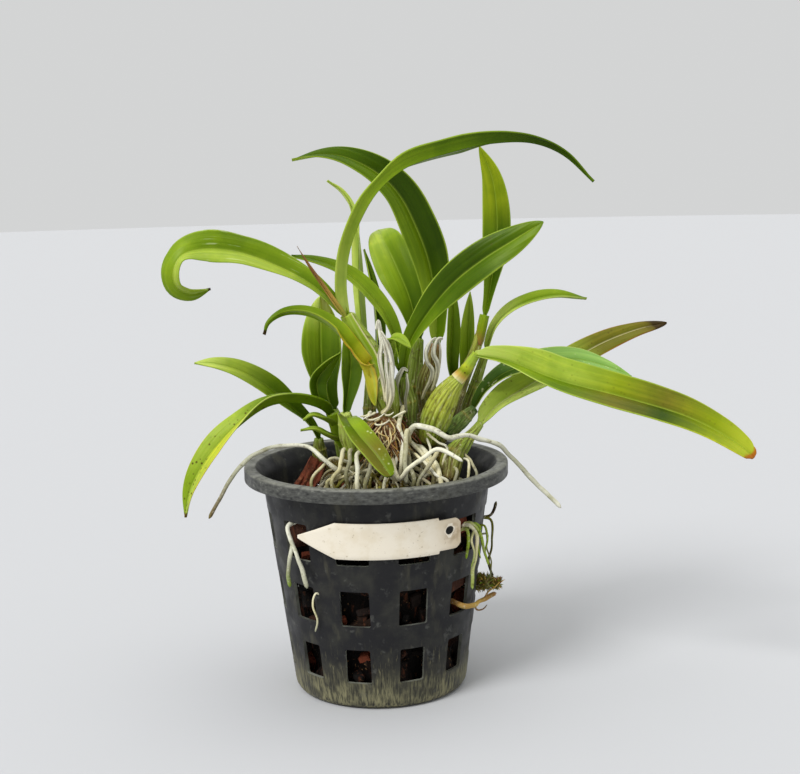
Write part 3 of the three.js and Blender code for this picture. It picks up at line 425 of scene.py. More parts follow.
# The roots in front of the crown, from the crown down; each then dives on into the mix.
FRONT_ROOTS = (
    (1, ((13.5, -9, 136), (12, -13, 131), (11.5, -16, 127), (12.5, -18.5, 123), (13, -21, 118),
         (12, -24, 112))),
    (1.05, ((14.5, -12, 120.5), (18, -14.5, 118), (22, -18, 114.5), (24, -21, 111), (27, -25, 106))),
    (1, ((14, -11, 121), (15.5, -17, 115), (16, -22, 109.5), (17.5, -27, 105))),
    (0.9, ((9.5, -14, 119.5), (10, -19, 114.5), (8.5, -24, 108.5))),
    (1.1, ((-8, -8, 113), (-14.5, -13.5, 116.5), (-15.5, -18.5, 113), (-16.5, -23.5, 109), (-20, -28, 105))),
    (1, ((-6, -9, 114), (-11.5, -15, 116.5), (-11.5, -20, 112.5), (-13, -25.5, 107))),
    (1.1, ((-3, -10, 115), (-8.5, -18, 115), (-8, -23, 110), (-8.5, -28.5, 104))),
    (0.85, ((2, -13, 106), (-4, -18, 107.5), (-12.5, -23, 106), (-22, -25, 104))),
    (1, ((0, -12, 117), (-2, -19.5, 113), (-2.5, -24, 109), (-4.5, -29, 104))),
    (0.6, ((24, -17, 124), (27.5, -20, 122), (29.5, -21, 120), (33, -22, 118))),
    (0.6, ((24, -14, 121), (25.5, -18.5, 118), (25.5, -21, 114.5), (27, -25, 109.5), (30, -27, 105))),
    (0.95, ((29, -27, 118), (26, -28.5, 113.5), (23.5, -29.5, 110), (20, -30, 104.5))),
    (0.8, ((18, -18, 115), (22.5, -23.5, 112), (25.5, -26, 109), (28, -27.5, 106), (33, -29, 103.5))),
    (0.7, ((40, -17, 112), (43, -22, 111), (42.5, -26.5, 105))),
    (0.65, ((41, -15, 114), (44.5, -21, 110.5), (46.5, -25.5, 105.5))),
    (0.8, ((4, -12, 118), (3.5, -19, 114), (5.5, -24, 109), (4, -29, 103.5))),
    (0.75, ((-12, -7, 109), (-20, -12, 112), (-25, -17, 109), (-30, -20, 103))),
    (0.7, ((33, -16, 108), (37, -24, 108), (36, -30, 103))),
)
CROWN_DROP, CROWN_RADIUS = 5.9, 2.4
OLD_STUB = 5  # the row of RHIZOME that stands in front of the crown
ROOT_SKIRT = {"count": 20, "radius": (0.9, 1.5), "reach": (16, 44), "inner": 46, "seed": 7, "lift": 3}
FIBRE_SEED, MOSS_SEED = 23, 31

WINDOW_ROOTS = {
    "window_roots_left": (
        ((1.05, 1.05, 1), ((-33, -28, 84), (-37.5, -32, 87), (-40, -36, 86), (-38.5, -38, 80),
                           (-35.5, -39.5, 72), (-33.5, -40, 65), (-32, -41, 58.5)), "chalk chalk grey"),
        ((0.95, 0.95, 0.9), ((-38, -38, 79), (-39.5, -38, 72), (-40.5, -36.5, 64), (-40, -35, 57.5)),
         "chalk grey fresh"),
        ((0.5, 0.5, 0.4), ((-24, -36, 52), (-28, -40.5, 56), (-29.5, -40, 50), (-28, -39, 43),
                           (-29, -38.5, 37)), "chalk cream grey"),
    ),
    "window_roots_right": (
        ((0.9, 0.9, 0.7), ((36, -26, 80), (42, -32, 84), (45.5, -32, 79), (45, -31.5, 70), (43.5, -31, 60),
                           (43.5, -30, 53)), "chalk cream light"),
        ((0.8, 0.8, 0.5), ((36, -24, 80), (43, -31, 84.5), (47.5, -29, 79), (49, -26, 71), (51.5, -22, 62)),
         "cream light light"),
        ((0.8, 0.8, 0.6), ((36, -26, 80), (41, -34, 82), (41.5, -35, 76), (40.5, -35.5, 69)),
         "cream light fresh"),
        ((0.6, 0.6, 0.4), ((40, -26, 81), (45, -31, 84.5), (47.5, -30, 82), (46, -31, 76), (47.5, -29, 67)),
         "light fresh light"),
        ((0.6, 0.5, 0.4), ((40, -26, 80), (44.5, -31.5, 82), (43, -34, 77), (44.5, -33, 71),
                           (42.5, -33, 64)), "light cream fresh"),
        ((0.5, 0.5, 0.3), ((44, -22, 80), (49.5, -26, 82), (51, -24, 75), (50, -22, 68), (53, -15, 59)),
         "olive light olive"),
    ),
    "dry_root_right": (
        ((0.8, 0.6, 0.55), ((42, -1, 79), (49, -1, 79.5), (54, 0, 78), (54.4, 0, 66), (53, -1, 56),
                            (55, -2, 50)), "olive olive umber"),
        ((0.7, 0.65, 0.9), ((49, -1, 79.5), (54, 0, 80), (56, 1, 83), (57, 1, 86.6)), "olive umber umber"),
        ((0.45, 0.4, 0.3), ((49, -4, 72), (52.5, -4, 72), (51.5, -6, 66), (54, -4, 58), (53, -6, 50)),
         "grey olive grey"),
    ),
    "twig": (
        ((1.3, 1.2, 1), ((33, -24, 46), (39, -29.5, 45), (44, -23, 43), (50, -10, 42), (56, -5, 43)),
         "bark straw bark"),
        ((0.5, 0.4, 0.25), ((50, -10, 42), (52, -8, 45), (55, -7, 46.5), (58, -6, 49)), "bark straw"),
        ((0.45, 0.4, 0.25), ((44, -23, 43), (46, -21, 40), (49, -16, 39), (51, -13, 40)), "bark brown"),
    ),
}
MOSS_LUMPS = ((46, -3.5, 48, 4.4), (51, -4.5, 48, 4), (56, -3, 47, 3))

# The camera: metres, degrees down and round, and the lens in millimetres for a 36 mm sensor.
CAMERA = {"place": (0.0122, -0.65, 0.245), "pitch": 8.9, "roll": 1.33, "lens": 62.775}
# The lights: each one's place in metres, the angle that it fills in degrees, and its strength.
LIGHTS = {"window_light": ((-0.6, -0.7, 1.05), 24, 2.3), "top_light": ((0.15, 0.1, 1.2), 60, 0.8)}
LIT_POINT = (0, 0, 0.13)
DAYLIGHT = 0.75
FLOOR_RADIUS, FLOOR_DROP = 6, 0.0002

# The plant's colours by a maker's names, each with what it colours; the blade greens ("deep", "dark",
# "green", "light", "pale") are partly painted light and shade, as they are laid along the leaves.
TINTS = {
    "deep": ("#2f4602", "Shaded blades"), "dark": ("#425c05", "Old blades"),
    "green": ("#5c760c", "Blades"), "fresh": ("#7a941c", "Younger blades"),
    "light": ("#96ab3a", "Lit blades"), "pale": ("#b6c661", "Pale blades"),
    "moss": ("#7a8a10", "Sunned blades"), "lime": ("#aeb832", "Ripe pseudobulbs"),
    "olive": ("#67651a", "Ageing blades"), "yellow": ("#ccc03c", "Yellowing leaf base"),
    "gold": ("#b4ac2e", "Yellowing blade"), "amber": ("#a9621c", "Rusty margins"),
    "straw": ("#c2a04c", "Dry ends"), "bark": ("#8a6138", "Dry bracts"),
    "brown": ("#5a4416", "Withered ends"), "umber": ("#35260f", "Dead tips"),
    "sea": ("#84ab55", "Blue-green leaf"), "seagreen": ("#3f5c22", "Blue-green leaf base"),
    "cream": ("#dfd6a8", "Young roots"), "chalk": ("#e2e0cc", "Dry roots"),
    "grey": ("#a3a389", "Weathered roots"), "rust": ("#6e3a22", "Dead fibres"),
}


# ---------------------------------------------------------------- numbers and curves


def linear(code):
    """An sRGB hex colour as the linear colour that shaders take."""
    values = [int(code[i : i + 2], 16) / 255 for i in (1, 3, 5)]
    return [v / 12.92 if v <= 0.04045 else ((v + 0.055) / 1.055) ** 2.4 for v in values] + [1.0]


def seeded(seed):
    """The same row of random numbers from 0 to 1 that places the chunks and roots of the solids."""
    word = 0xFFFFFFFF
    state = (seed * 2654435761) & word

    def draw():
        nonlocal state
        state = (state + 0x6D2B79F5) & word
        t = ((state ^ (state >> 15)) * (1 | state)) & word
        t = ((t + ((t ^ (t >> 7)) * (61 | t))) & word) ^ t
        return ((t ^ (t >> 14)) & word) / 4294967296

    return draw


def smoothstep(t):
    """An ease from 0 to 1 that starts and ends level."""
    x = np.clip(t, 0, 1)
    return x * x * (3 - 2 * x)


def along(values, t):
    """Evenly spaced numbers or rows of numbers, read at each t from 0 to 1."""
    table = np.array(values, float)
    places = np.linspace(0, 1, len(table))
    if table.ndim == 1:
        return np.interp(t, places, table)
    return np.stack([np.interp(t, places, column) for column in table.T], -1)


def tinted(names, t):
    """The plant's colours named from one end to the other, read at each t from 0 to 1."""
    colours = bpy.context.scene.orchid_tints
    rows = [tuple(getattr(colours, name)) for name in names.split()]
    return along(rows if len(rows) > 1 else rows * 2, t)


def blend(first, second, share):
    """The first colours, each moved towards the second by its share."""
    return first + (second - first) * np.asarray(share)[..., None]


def unit(rows):
    """Each row scaled to a length of one."""
    return rows / np.maximum(np.linalg.norm(rows, axis=-1, keepdims=True), 1e-12)


def clouds(places):
    """Smooth noise from about -1 to 1 at each row of places."""
    return np.array([noise.noise(Vector(place)) for place in places])


class Course:
    """A smooth curve through points, read by the share of its length."""

    def __init__(self, points, dense=28):
        p = np.array(points, float)
        p = np.vstack([2 * p[0] - p[1], p, 2 * p[-1] - p[-2]])
        pieces = []
        s = np.linspace(0, 1, dense, endpoint=False)[:, None]
        for i in range(1, len(p) - 2):
            x0, x1, x2, x3 = p[i - 1 : i + 3]
            d0, d1, d2 = (max(np.linalg.norm(b - a), 1e-9) ** 0.5 for a, b in ((x0, x1), (x1, x2), (x2, x3)))
            m1 = ((x1 - x0) / d0 - (x2 - x0) / (d0 + d1) + (x2 - x1) / d1) * d1
            m2 = ((x2 - x1) / d1 - (x3 - x1) / (d1 + d2) + (x3 - x2) / d2) * d1
            c2 = -3 * x1 + 3 * x2 - 2 * m1 - m2
            c3 = 2 * x1 - 2 * x2 + m1 + m2
            pieces.append(x1 + m1 * s + c2 * s**2 + c3 * s**3)
        pieces.append(p[-2][None])
        self.dense = np.vstack(pieces)
        steps = np.linalg.norm(np.diff(self.dense, axis=0), axis=1)
        self.reach = np.concatenate([[0], np.cumsum(steps)])
        self.length = self.reach[-1]

    def at(self, t):
        where = np.asarray(t, float) * self.length
        return np.stack([np.interp(where, self.reach, column) for column in self.dense.T], -1)

    def tangent(self, t):
        step = 0.004
        low, high = np.clip(np.asarray(t) - step, 0, 1), np.clip(np.asarray(t) + step, 0, 1)
        return unit(self.at(high) - self.at(low))


def pot_radius(z):
    """The outer radius of the pot's wall at a height."""
    return 41 + 13 * z / POT_PROFILE_NECK


def mound_surface(x, y):
    """The height of the mix's rounded top."""
    (cx, cy), (rx, ry) = MIX["centre"], MIX["reach"]
    return MIX["level"] + MIX["mound"] * math.exp(-(((x - cx) / rx) ** 2) - ((y - cy) / ry) ** 2)


# ---------------------------------------------------------------- meshes


class Shape:
    """Points in millimetres, their faces, and named numbers at each point, gathered part by part."""

    def __init__(self, *fields):
        self.points, self.faces, self.count = [], [], 0
        self.fields = {field: [] for field in ("tint", *fields)}

    def add(self, points, faces, **values):
        points = np.asarray(points, float).reshape(-1, 3)
        self.faces += [tuple(i + self.count for i in face) for face in faces]
        self.points.append(points)
        self.count += len(points)
        for field, rows in self.fields.items():
            if field == "tint":
                colours = np.asarray(values.get(field, (1.0, 1, 1)), float)
                rows.append(np.broadcast_to(colours, (len(points), 3)))
            else:
                numbers = np.asarray(values.get(field, 0.0), float).ravel()
                rows.append(np.broadcast_to(numbers, (len(points),)))

    def plain(self, name):
        mesh = bpy.data.meshes.new(name)
        mesh.from_pydata((np.vstack(self.points) * MM).tolist(), [], self.faces)
        built = bpy.data.objects.new(name, mesh)
        bpy.context.scene.collection.objects.link(built)
        return built

    def piece(self, name, material, slot, *nodes, sharp=None):
        """The finished piece, which rides on the plant's body and stands for the named nodes."""
        built = self.plain(name)
        mesh = built.data
        for field, rows in self.fields.items():
            values = np.concatenate(rows)
            if field == "tint":
                layer = mesh.attributes.new(field, "FLOAT_COLOR", "POINT")
                values = np.concatenate([values, np.ones((len(values), 1))], 1).ravel()
                layer.data.foreach_set("color", values.astype(np.float32))
            else:
                layer = mesh.attributes.new(field, "FLOAT", "POINT")
                layer.data.foreach_set("value", values.astype(np.float32))
        mesh.validate()
        mesh.shade_smooth()
        if sharp:
            mesh.set_sharp_from_angle(angle=math.radians(sharp))
        return finished(built, material, slot, *nodes)


def finished(piece, material, slot, *nodes):
    """Gives a piece its material, and says what it rides on and which nodes it stands for."""
    piece.data.materials.clear()
    piece.data.materials.append(material)
    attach(piece, "root")
    if nodes:
        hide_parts(*nodes)
    return piece


def skin(rings):
    """Faces over a row of closed rings, with a cap at each end."""
    rows, corners = rings.shape[:2]
    faces = []
    for r in range(rows - 1):
        a = r * corners
        for i in range(corners):
            j = (i + 1) % corners
            faces.append((a + i, a + j, a + corners + j, a + corners + i))
    last = (rows - 1) * corners
    faces.append(tuple(reversed(range(corners))))
    faces.append(tuple(range(last, last + corners)))
    return faces


def carried_frame(tangents, first=(1, 0.3, 0.2)):
    """Two directions across each tangent, turned as little as possible from one to the next."""
    side = np.array(first, float)
    sides = []
    for tangent in tangents:
        side = unit(side - tangent * side.dot(tangent))
        sides.append(side)
    sides = np.array(sides)
    return sides, np.cross(tangents, sides)


def spokes(angle, side, across):
    """The directions at these angles round a curve, at each of its stations."""
    return np.cos(angle)[None, :, None] * side[:, None] + np.sin(angle)[None, :, None] * across[:, None]


def strand(shape, points, radii, tints, sides=10, spacing=1.4, wobble=0.0, seed=0, dirt=0.0, pleat=0.0):
    """A round root, cord or stalk that swells and strays a little, with its skin's colours along it."""
    course = Course(points)
    steps = max(5, int(course.length / spacing))
    t = np.linspace(0, 1, steps + 1)
    centre, tangents = course.at(t), course.tangent(t)
    side, across = carried_frame(tangents)
    reach = along(radii if np.ndim(radii) else (radii, radii), t)
    run = t * course.length
    if wobble:
        sway = np.stack([clouds([(r / 7, seed * 3.1, k * 5.7) for r in run]) for k in range(3)], -1)
        ease = smoothstep(t * 6)[:, None]
        centre = centre + wobble * (sway[:, :1] * side + sway[:, 1:2] * across) * ease
        reach = reach * (1 + 0.22 * sway[:, 2])
    # Its ends are rounded off.
    reach[0] *= 0.55
    reach[-1] *= 0.3
    reach[-2] *= 0.82
    angle = np.linspace(0, 2 * np.pi, sides, endpoint=False)
    ring = spokes(angle, side, across)
    furrow = 1 - pleat * (0.5 + 0.5 * np.cos(3 * angle[None] + run[:, None] * 0.25 + seed))
    rings = centre[:, None] + (reach[:, None] * furrow)[..., None] * ring
    tint = np.repeat(tinted(tints, t)[:, None], sides, 1)
    tint = blend(tint, tinted("brown", 0), dirt * np.ones(rings.shape[:2]))
    # The pleats' furrows are painted darker towards umber: painted shade in the grooves.
    if pleat:
        tint = blend(tint, tinted("umber", 0), ((1 - furrow) / pleat) ** 2 * 0.6)
    shape.add(rings, skin(rings), tint=tint.reshape(-1, 3))


HALF_STATIONS = np.array([0, 0.035, 0.09, 0.2, 0.34, 0.5, 0.66, 0.8, 0.9, 0.96, 1.0])


def leaf_outline(t, leaf):
    """A leaf's width at each t from base to tip, as a share of its greatest."""
    widest, base = leaf.get("widest", 0.4), leaf.get("base", 0.5)
    rise = base + (1 - base) * smoothstep(t / widest)
    past = np.clip((t - widest) / (1 - widest), 0, 1)
    fall = np.power(np.maximum(0, 1 - past**2.2), leaf.get("tip", 1))
    waist, depth = leaf.get("waist", (0.5, 0))
    return np.where(t < widest, rise, fall) * (1 - depth * np.exp(-(((t - waist) / 0.07) ** 2)))


def blade(shape, leaf, thick, edge, steps=70, tip_half=0.3, seed=0):
    """A folded leaf blade: a crisp channel above the midrib, a keel below it and thin margins."""
    course = Course(leaf["midrib"])
    t = 1 - (1 - np.linspace(0, 1, steps + 1)) ** 1.35
    centre, tangents = course.at(t), course.tangent(t)
    normal = along(leaf["face"], t)
    normal = unit(normal - tangents * (normal * tangents).sum(1)[:, None])
    side = np.cross(tangents, normal)
    opening = 0.45 + 0.55 * smoothstep(t / 0.05)
    half = np.maximum(tip_half, leaf["width"] / 2 * leaf_outline(t, leaf) * opening)
    fold = np.radians(along(leaf.get("fold", (20, 20)), t))
    across = np.concatenate([-HALF_STATIONS[:0:-1], HALF_STATIONS])
    a = np.abs(across)
    swell, length = leaf.get("wave", (0.25, 17))
    run = t * course.length
    sway = 2.2 * np.stack([clouds([(r / length, s * 2.3, seed * 7.7) for r in run]) for s in (-1, 1)], -1)
    margin = np.where(across < 0, sway[:, :1], sway[:, 1:]) * swell * smoothstep(t * 5)[:, None] * a**2
    rag = np.stack([clouds([(r / 2.2, s * 4.1, 3.3) for r in run]) for s in (-1, 1)], -1)
    rag = 1 - leaf.get("torn", 0) * np.clip(rag, 0, 1) * smoothstep((t - 0.95) / 0.04)[:, None]
    width = half[:, None] * np.where(across < 0, rag[:, :1], rag[:, 1:])
    out = width * np.cos(fold)[:, None] * across
    bow = 0.07 * width * np.sin(np.pi * a) * smoothstep(t * 4)[:, None]
    up = half[:, None] * np.sin(fold)[:, None] * a**1.1 + bow + margin
    body = edge / 2 + (thick - edge) / 2 * (1 - a) ** 1.3
    body = np.where(a > 0.99, 0.12 * edge, np.where(a > 0.95, 0.42 * edge, body))
    room = np.minimum(1, half / 2.2)[:, None]
    groove = 0.34 * np.exp(-((a / 0.05) ** 2)) * room
    keel = 0.42 * np.exp(-((a / 0.07) ** 2)) * room
    order = np.concatenate([np.arange(len(across)), np.arange(len(across) - 2, 0, -1)])
    above = np.arange(len(order)) < len(across)
    height = np.where(above[None], (up + body - groove)[:, order], (up - body - keel)[:, order])
    rings = centre[:, None] + out[:, order, None] * side[:, None] + height[..., None] * normal[:, None]

    # The colours: the two halves, whose different tints are partly painted light and shade, one half lit
    # and the other shaded, the midrib, the margins, the paler lower face and the dead tip.
    place, size = across[order][None] * np.ones((len(t), 1)), rings.shape[:2]
    seam = along(leaf.get("seam", (0, 0)), t)[:, None]
    left, right = (tinted(leaf.get(name, leaf["left"]), t)[:, None] for name in ("left", "right"))
    top = blend(left, right, smoothstep((place - seam + 0.05) / 0.1))
    rib = tinted(leaf.get("midrib_colour", "light"), t)[:, None]
    top = blend(top, rib, 0.65 * np.exp(-(((place - seam) / 0.035) ** 2)))
    if "under" in leaf:
        below = tinted(leaf["under"], t)[:, None]
    else:
        below = blend(top, tinted("light", 0), 0.35 * np.ones(size))
    tint = np.where(above[None, :, None], top, below * np.ones((*size, 1)))
    brink = np.abs(place)
    tint = blend(tint, tinted(leaf.get("edge", "light"), t)[:, None], 0.9 * smoothstep((brink - 0.93) / 0.04))
    if "end" in leaf:
        start, name = leaf["end"]
        ragged = 0.5 * clouds([tuple(p) for p in (rings.reshape(-1, 3) / 5)]).reshape(size) * (1 - start)
        tint = blend(tint, tinted(name, 0), smoothstep((t[:, None] + ragged - start) / (0.3 * (1 - start))))
    shape.add(
        rings, skin(rings), tint=tint.reshape(-1, 3), millimetres=np.repeat(run, len(order)),
        sideways=(half[:, None] * place).ravel(), specks=leaf.get("specks", 0), gloss=leaf.get("gloss", 0))


def chunk(shape, size, centre, turn, random, tint, radius_at=None, cuts=3, rough=0.5):
    """An angular lump of bark: a box with eight shifted corners, its faces worn and flaked."""
    bm = bmesh.new()
    bmesh.ops.create_cube(bm, size=1)
    spread = 0.45 * min(size)
    signs = [tuple(1 if c > 0 else -1 for c in v.co) for v in bm.verts]
    order = [(1, 1, 1), (1, 1, -1), (1, -1, 1), (1, -1, -1),
             (-1, 1, -1), (-1, 1, 1), (-1, -1, -1), (-1, -1, 1)]
    shift = {key: [(random() - 0.5) * spread for _ in range(3)] for key in order}
    for v, key in zip(bm.verts, signs):
        v.co = Vector([k * s / 2 + d for k, s, d in zip(key, size, shift[key])])
    bmesh.ops.bevel(bm, geom=bm.edges[:], offset=min(size) * 0.1, segments=1, affect="EDGES", profile=0.5)
    long_edges = [e for e in bm.edges if e.calc_length() > min(size) * 0.3]
    bmesh.ops.subdivide_edges(bm, edges=long_edges, cuts=cuts, use_grid_fill=True)
    bm.normal_update()
    seed = Vector([3 * c for c in centre])
    for v in bm.verts:
        grain = noise.noise(Vector((v.co.x * 0.9, v.co.y * 0.9, v.co.z * 0.2)) + seed)
        pit = noise.noise(v.co * 0.45 + seed)
        v.co += v.normal * rough * (0.9 * grain + 0.7 * pit - 0.3)
    bmesh.ops.triangulate(bm, faces=[f for f in bm.faces if len(f.verts) > 4])
    points = []
    for v in bm.verts:
        p = turn @ v.co + Vector(centre)
        if radius_at:
            flat, limit = math.hypot(p.x, p.y), radius_at(p.z)
            if flat > limit:
                p.x, p.y = p.x * limit / flat, p.y * limit / flat
        points.append(tuple(p))
    # The faces come in no fixed order, so they are sorted.
    faces = sorted(tuple(v.index for v in f.verts) for f in bm.faces)
    bm.free()
    shape.add(points, faces, tint=linear(tint)[:3])


def cut(target, cutter):
    """Cuts one mesh out of another and keeps the result."""
    change = target.modifiers.new("openings", "BOOLEAN")
    change.operation, change.solver, change.object = "DIFFERENCE", "EXACT", cutter
    seen = target.evaluated_get(bpy.context.evaluated_depsgraph_get())
    mesh = bpy.data.meshes.new_from_object(seen)
    target.modifiers.clear()
    old, target.data = target.data, mesh
    bpy.data.meshes.remove(old)
    bpy.data.objects.remove(cutter)


# ---------------------------------------------------------------- materials

RGBA = {"out": 2, "data_type": "RGBA"}
SHADE = {"out": 2, "data_type": "RGBA", "blend_type": "MULTIPLY"}
SOFT = {"interpolation_type": "SMOOTHSTEP"}


def add(tree, kind, inputs=(), out=0, **settings):
    """Adds a shader node with its settings. Each input is a value, or another node's output to link.
    The output that has the given number is handed back."""
    node = tree.nodes.new("ShaderNode" + kind)
    for name, value in settings.items():
        setattr(node, name, value)
    for name, value in dict(inputs).items():
        if isinstance(value, bpy.types.NodeSocket):
            tree.links.new(value, node.inputs[name])
        else:
            node.inputs[name].default_value = value
    return node.outputs[out] if node.outputs else node


def begin(name):
    """A new material, its nodes, its base colour from the piece's tint, and where on the piece."""
    material = bpy.data.materials.new(name)
    material.use_nodes = True
    tree = material.node_tree
    tree.nodes.clear()
    tint = add(tree, "Attribute", attribute_name="tint")
    return material, tree, tint, add(tree, "TexCoord", out=3)


def stained(tree, place, colour, stains):
    """Lays cloudy stains over a colour. Each has its size in mm, its stretch, the noise that it
    starts and is full at, its strength and its colour."""
    for size, stretch, start, full, strength, code in stains:
        spread = add(tree, "VectorMath", {0: place, 1: stretch}, operation="MULTIPLY")
        cloud = add(tree, "TexNoise", {"Vector": spread, "Scale": 1 / (size * MM), "Detail": 4.0,
                                       "Roughness": 0.6})
        share = add(tree, "MapRange", {0: cloud, 1: start, 2: full, 4: strength}, **SOFT)
        colour = add(tree, "Mix", {0: share, 6: colour, 7: linear(code)}, **RGBA)
    return colour


def leaf_cuticle():
    """Cattleya leaf: a thick, waxy cuticle. Fine veins run along it, and old blades are flecked."""
    material, tree, colour, place = begin("waxy_leaf_cuticle")
    run = add(tree, "Attribute", out=2, attribute_name="millimetres")
    sideways = add(tree, "Attribute", out=2, attribute_name="sideways")
    slow = add(tree, "Math", {0: run, 1: 0.022}, operation="MULTIPLY")
    lines = add(tree, "CombineXYZ", {0: sideways, 1: slow})
    # Veins lie about 1 mm apart, and broader bands about 3 mm.
    veins = add(tree, "TexNoise", {"Vector": lines, "Scale": 1.0, "Detail": 3.0, "Roughness": 0.55})
    bands = add(tree, "TexNoise", {"Vector": lines, "Scale": 0.33, "Detail": 1.0})
    for source, low, high, strength, factor in (
        (veins, 0.55, 0.75, 0.45, (1.25, 1.2, 1.5, 1)), (veins, 0.48, 0.25, 0.6, (0.74, 0.8, 0.6, 1)),
        (bands, 0.52, 0.72, 0.55, (1.3, 1.2, 1.2, 1)), (bands, 0.48, 0.3, 0.65, (0.68, 0.76, 0.6, 1)),
    ):
        share = add(tree, "MapRange", {0: source, 1: low, 2: high, 4: strength}, **SOFT)
        colour = add(tree, "Mix", {0: share, 6: colour, 7: factor}, **SHADE)
    for size, low, high, strength, factor in (
        (14, 0.5, 0.7, 0.6, (0.7, 0.78, 0.55, 1)), (9, 0.52, 0.7, 0.5, (1.3, 1.22, 1.1, 1)),
    ):
        cloud = add(tree, "TexNoise", {"Vector": place, "Scale": 1 / (size * MM), "Detail": 3.0})
        share = add(tree, "MapRange", {0: cloud, 1: low, 2: high, 4: strength}, **SOFT)
        colour = add(tree, "Mix", {0: share, 6: colour, 7: factor}, **SHADE)
    # Flecks of 0.5 to 1 mm: brown where the number is below nought, pale where it is above.
    cells = add(tree, "TexVoronoi", {"Vector": place, "Scale": 1 / (2.4 * MM)})
    dots = add(tree, "MapRange", {0: cells, 1: 0.3, 2: 0.12}, **SOFT)
    patch = add(tree, "TexNoise", {"Vector": place, "Scale": 1 / (8 * MM), "Detail": 2.0})
    chosen = add(tree, "MapRange", {0: patch, 1: 0.47, 2: 0.6}, **SOFT)
    dots = add(tree, "Math", {0: dots, 1: chosen}, operation="MULTIPLY")
    specks = add(tree, "Attribute", out=2, attribute_name="specks")
    for sign, code in ((-1.0, SPECK_BROWN), (1.0, SPECK_PALE)):
        share = add(tree, "Math", {0: specks, 1: sign}, operation="MULTIPLY")
        share = add(tree, "Math", {0: share, 1: dots}, operation="MULTIPLY", use_clamp=True)
        colour = add(tree, "Mix", {0: share, 6: colour, 7: linear(code)}, **RGBA)
    # Pale streaks are painted into the colour of the glossy leaf: a painted highlight, with its strength set
    # per leaf.
    gloss = add(tree, "Attribute", out=2, attribute_name="gloss")
    streaks = add(tree, "MapRange", {0: veins, 1: 0.56, 2: 0.72}, **SOFT)
    streaks = add(tree, "Math", {0: streaks, 1: gloss}, operation="MULTIPLY")
    streaks = add(tree, "Math", {0: streaks, 1: chosen}, operation="MULTIPLY")
    colour = add(tree, "Mix", {0: streaks, 6: colour, 7: linear("#dbe3bd")}, **RGBA)
    bump = add(tree, "Bump", {"Strength": 0.4, "Distance": 0.0004, "Height": veins})
    bump = add(tree, "Bump", {"Strength": 0.5, "Distance": 0.001, "Height": bands, "Normal": bump})
    shader = add(tree, "BsdfPrincipled", {
        "Base Color": colour, "Roughness": 0.36, "IOR": 1.45, "Specular IOR Level": 0.16,
        "Specular Tint": (0.9, 1.0, 0.6, 1),
        "Subsurface Weight": 0.1, "Subsurface Radius": (0.5, 1.0, 0.15), "Subsurface Scale": 0.0012,
        "Normal": bump,
    })
    add(tree, "OutputMaterial", {"Surface": shader})
    return material


def pseudobulb_skin():
    """Pseudobulb flesh under the last threads of its sheath: satin skin, with dry fibres along it."""
    material, tree, colour, place = begin("fibrous_pseudobulb_skin")
    around = add(tree, "Attribute", out=2, attribute_name="around")
    run = add(tree, "Attribute", out=2, attribute_name="millimetres")
    slow = add(tree, "Math", {0: run, 1: 0.09}, operation="MULTIPLY")
    lines = add(tree, "CombineXYZ", {0: around, 1: slow})
    # Fibres 0.3 to 0.6 mm wide, drawn a little coarser so that they show.
    fibres = add(tree, "TexNoise", {"Vector": lines, "Scale": 1.3, "Detail": 4.0, "Roughness": 0.65})
    for low, high, strength, code in ((0.53, 0.68, 0.65, "#ccd08a"), (0.45, 0.3, 0.75, "#43451a")):
        share = add(tree, "MapRange", {0: fibres, 1: low, 2: high, 4: strength}, **SOFT)
        colour = add(tree, "Mix", {0: share, 6: colour, 7: linear(code)}, **RGBA)
    colour = stained(tree, place, colour, (
        (3.5, (1, 1, 1), 0.54, 0.68, 0.6, "#4f3f1c"), (1.5, (1, 1, 0.5), 0.6, 0.7, 0.5, "#d8d4b4")))
    bump = add(tree, "Bump", {"Strength": 0.7, "Distance": 0.0006, "Height": fibres})
    shader = add(tree, "BsdfPrincipled", {
        "Base Color": colour, "Roughness": 0.5, "IOR": 1.45, "Specular IOR Level": 0.3, "Normal": bump})
    add(tree, "OutputMaterial", {"Surface": shader})
    return material


def dry_paper():
    """Dead sheath: bleached, fibrous paper, foxed with brown."""
    material, tree, colour, place = begin("dead_leaf_sheath")
    colour = stained(tree, place, colour, (
        (0.8, (1, 1, 0.12), 0.54, 0.66, 0.5, "#7d6c48"), (4, (1, 1, 1), 0.6, 0.72, 0.4, "#8c7850")))
    grain = add(tree, "TexNoise", {"Vector": place, "Scale": 1 / (0.7 * MM), "Detail": 3.0})
    bump = add(tree, "Bump", {"Strength": 0.7, "Distance": 0.0004, "Height": grain})
    shader = add(tree, "BsdfPrincipled", {
        "Base Color": colour, "Roughness": 0.8, "Specular IOR Level": 0.2, "Normal": bump})
    add(tree, "OutputMaterial", {"Surface": shader})
    return material


def velamen():
    """Aerial root: spongy velamen that dries chalky and goes grey-green where it stays damp."""
    material, tree, colour, place = begin("root_velamen")
    colour = stained(tree, place, colour, (
        (7, (1, 1, 1), 0.52, 0.7, 0.55, "#8c8a58"), (2.5, (1, 1, 1), 0.6, 0.7, 0.6, "#5c4c2c"),
        (1.2, (1, 1, 1), 0.56, 0.7, 0.4, "#efecd8")))
    grain = add(tree, "TexNoise", {"Vector": place, "Scale": 1 / (0.9 * MM), "Detail": 3.0})
    bump = add(tree, "Bump", {"Strength": 0.6, "Distance": 0.0003, "Height": grain})
    shader = add(tree, "BsdfPrincipled", {
        "Base Color": colour, "Roughness": 0.75, "Specular IOR Level": 0.2, "Normal": bump})
    add(tree, "OutputMaterial", {"Surface": shader})
    return material


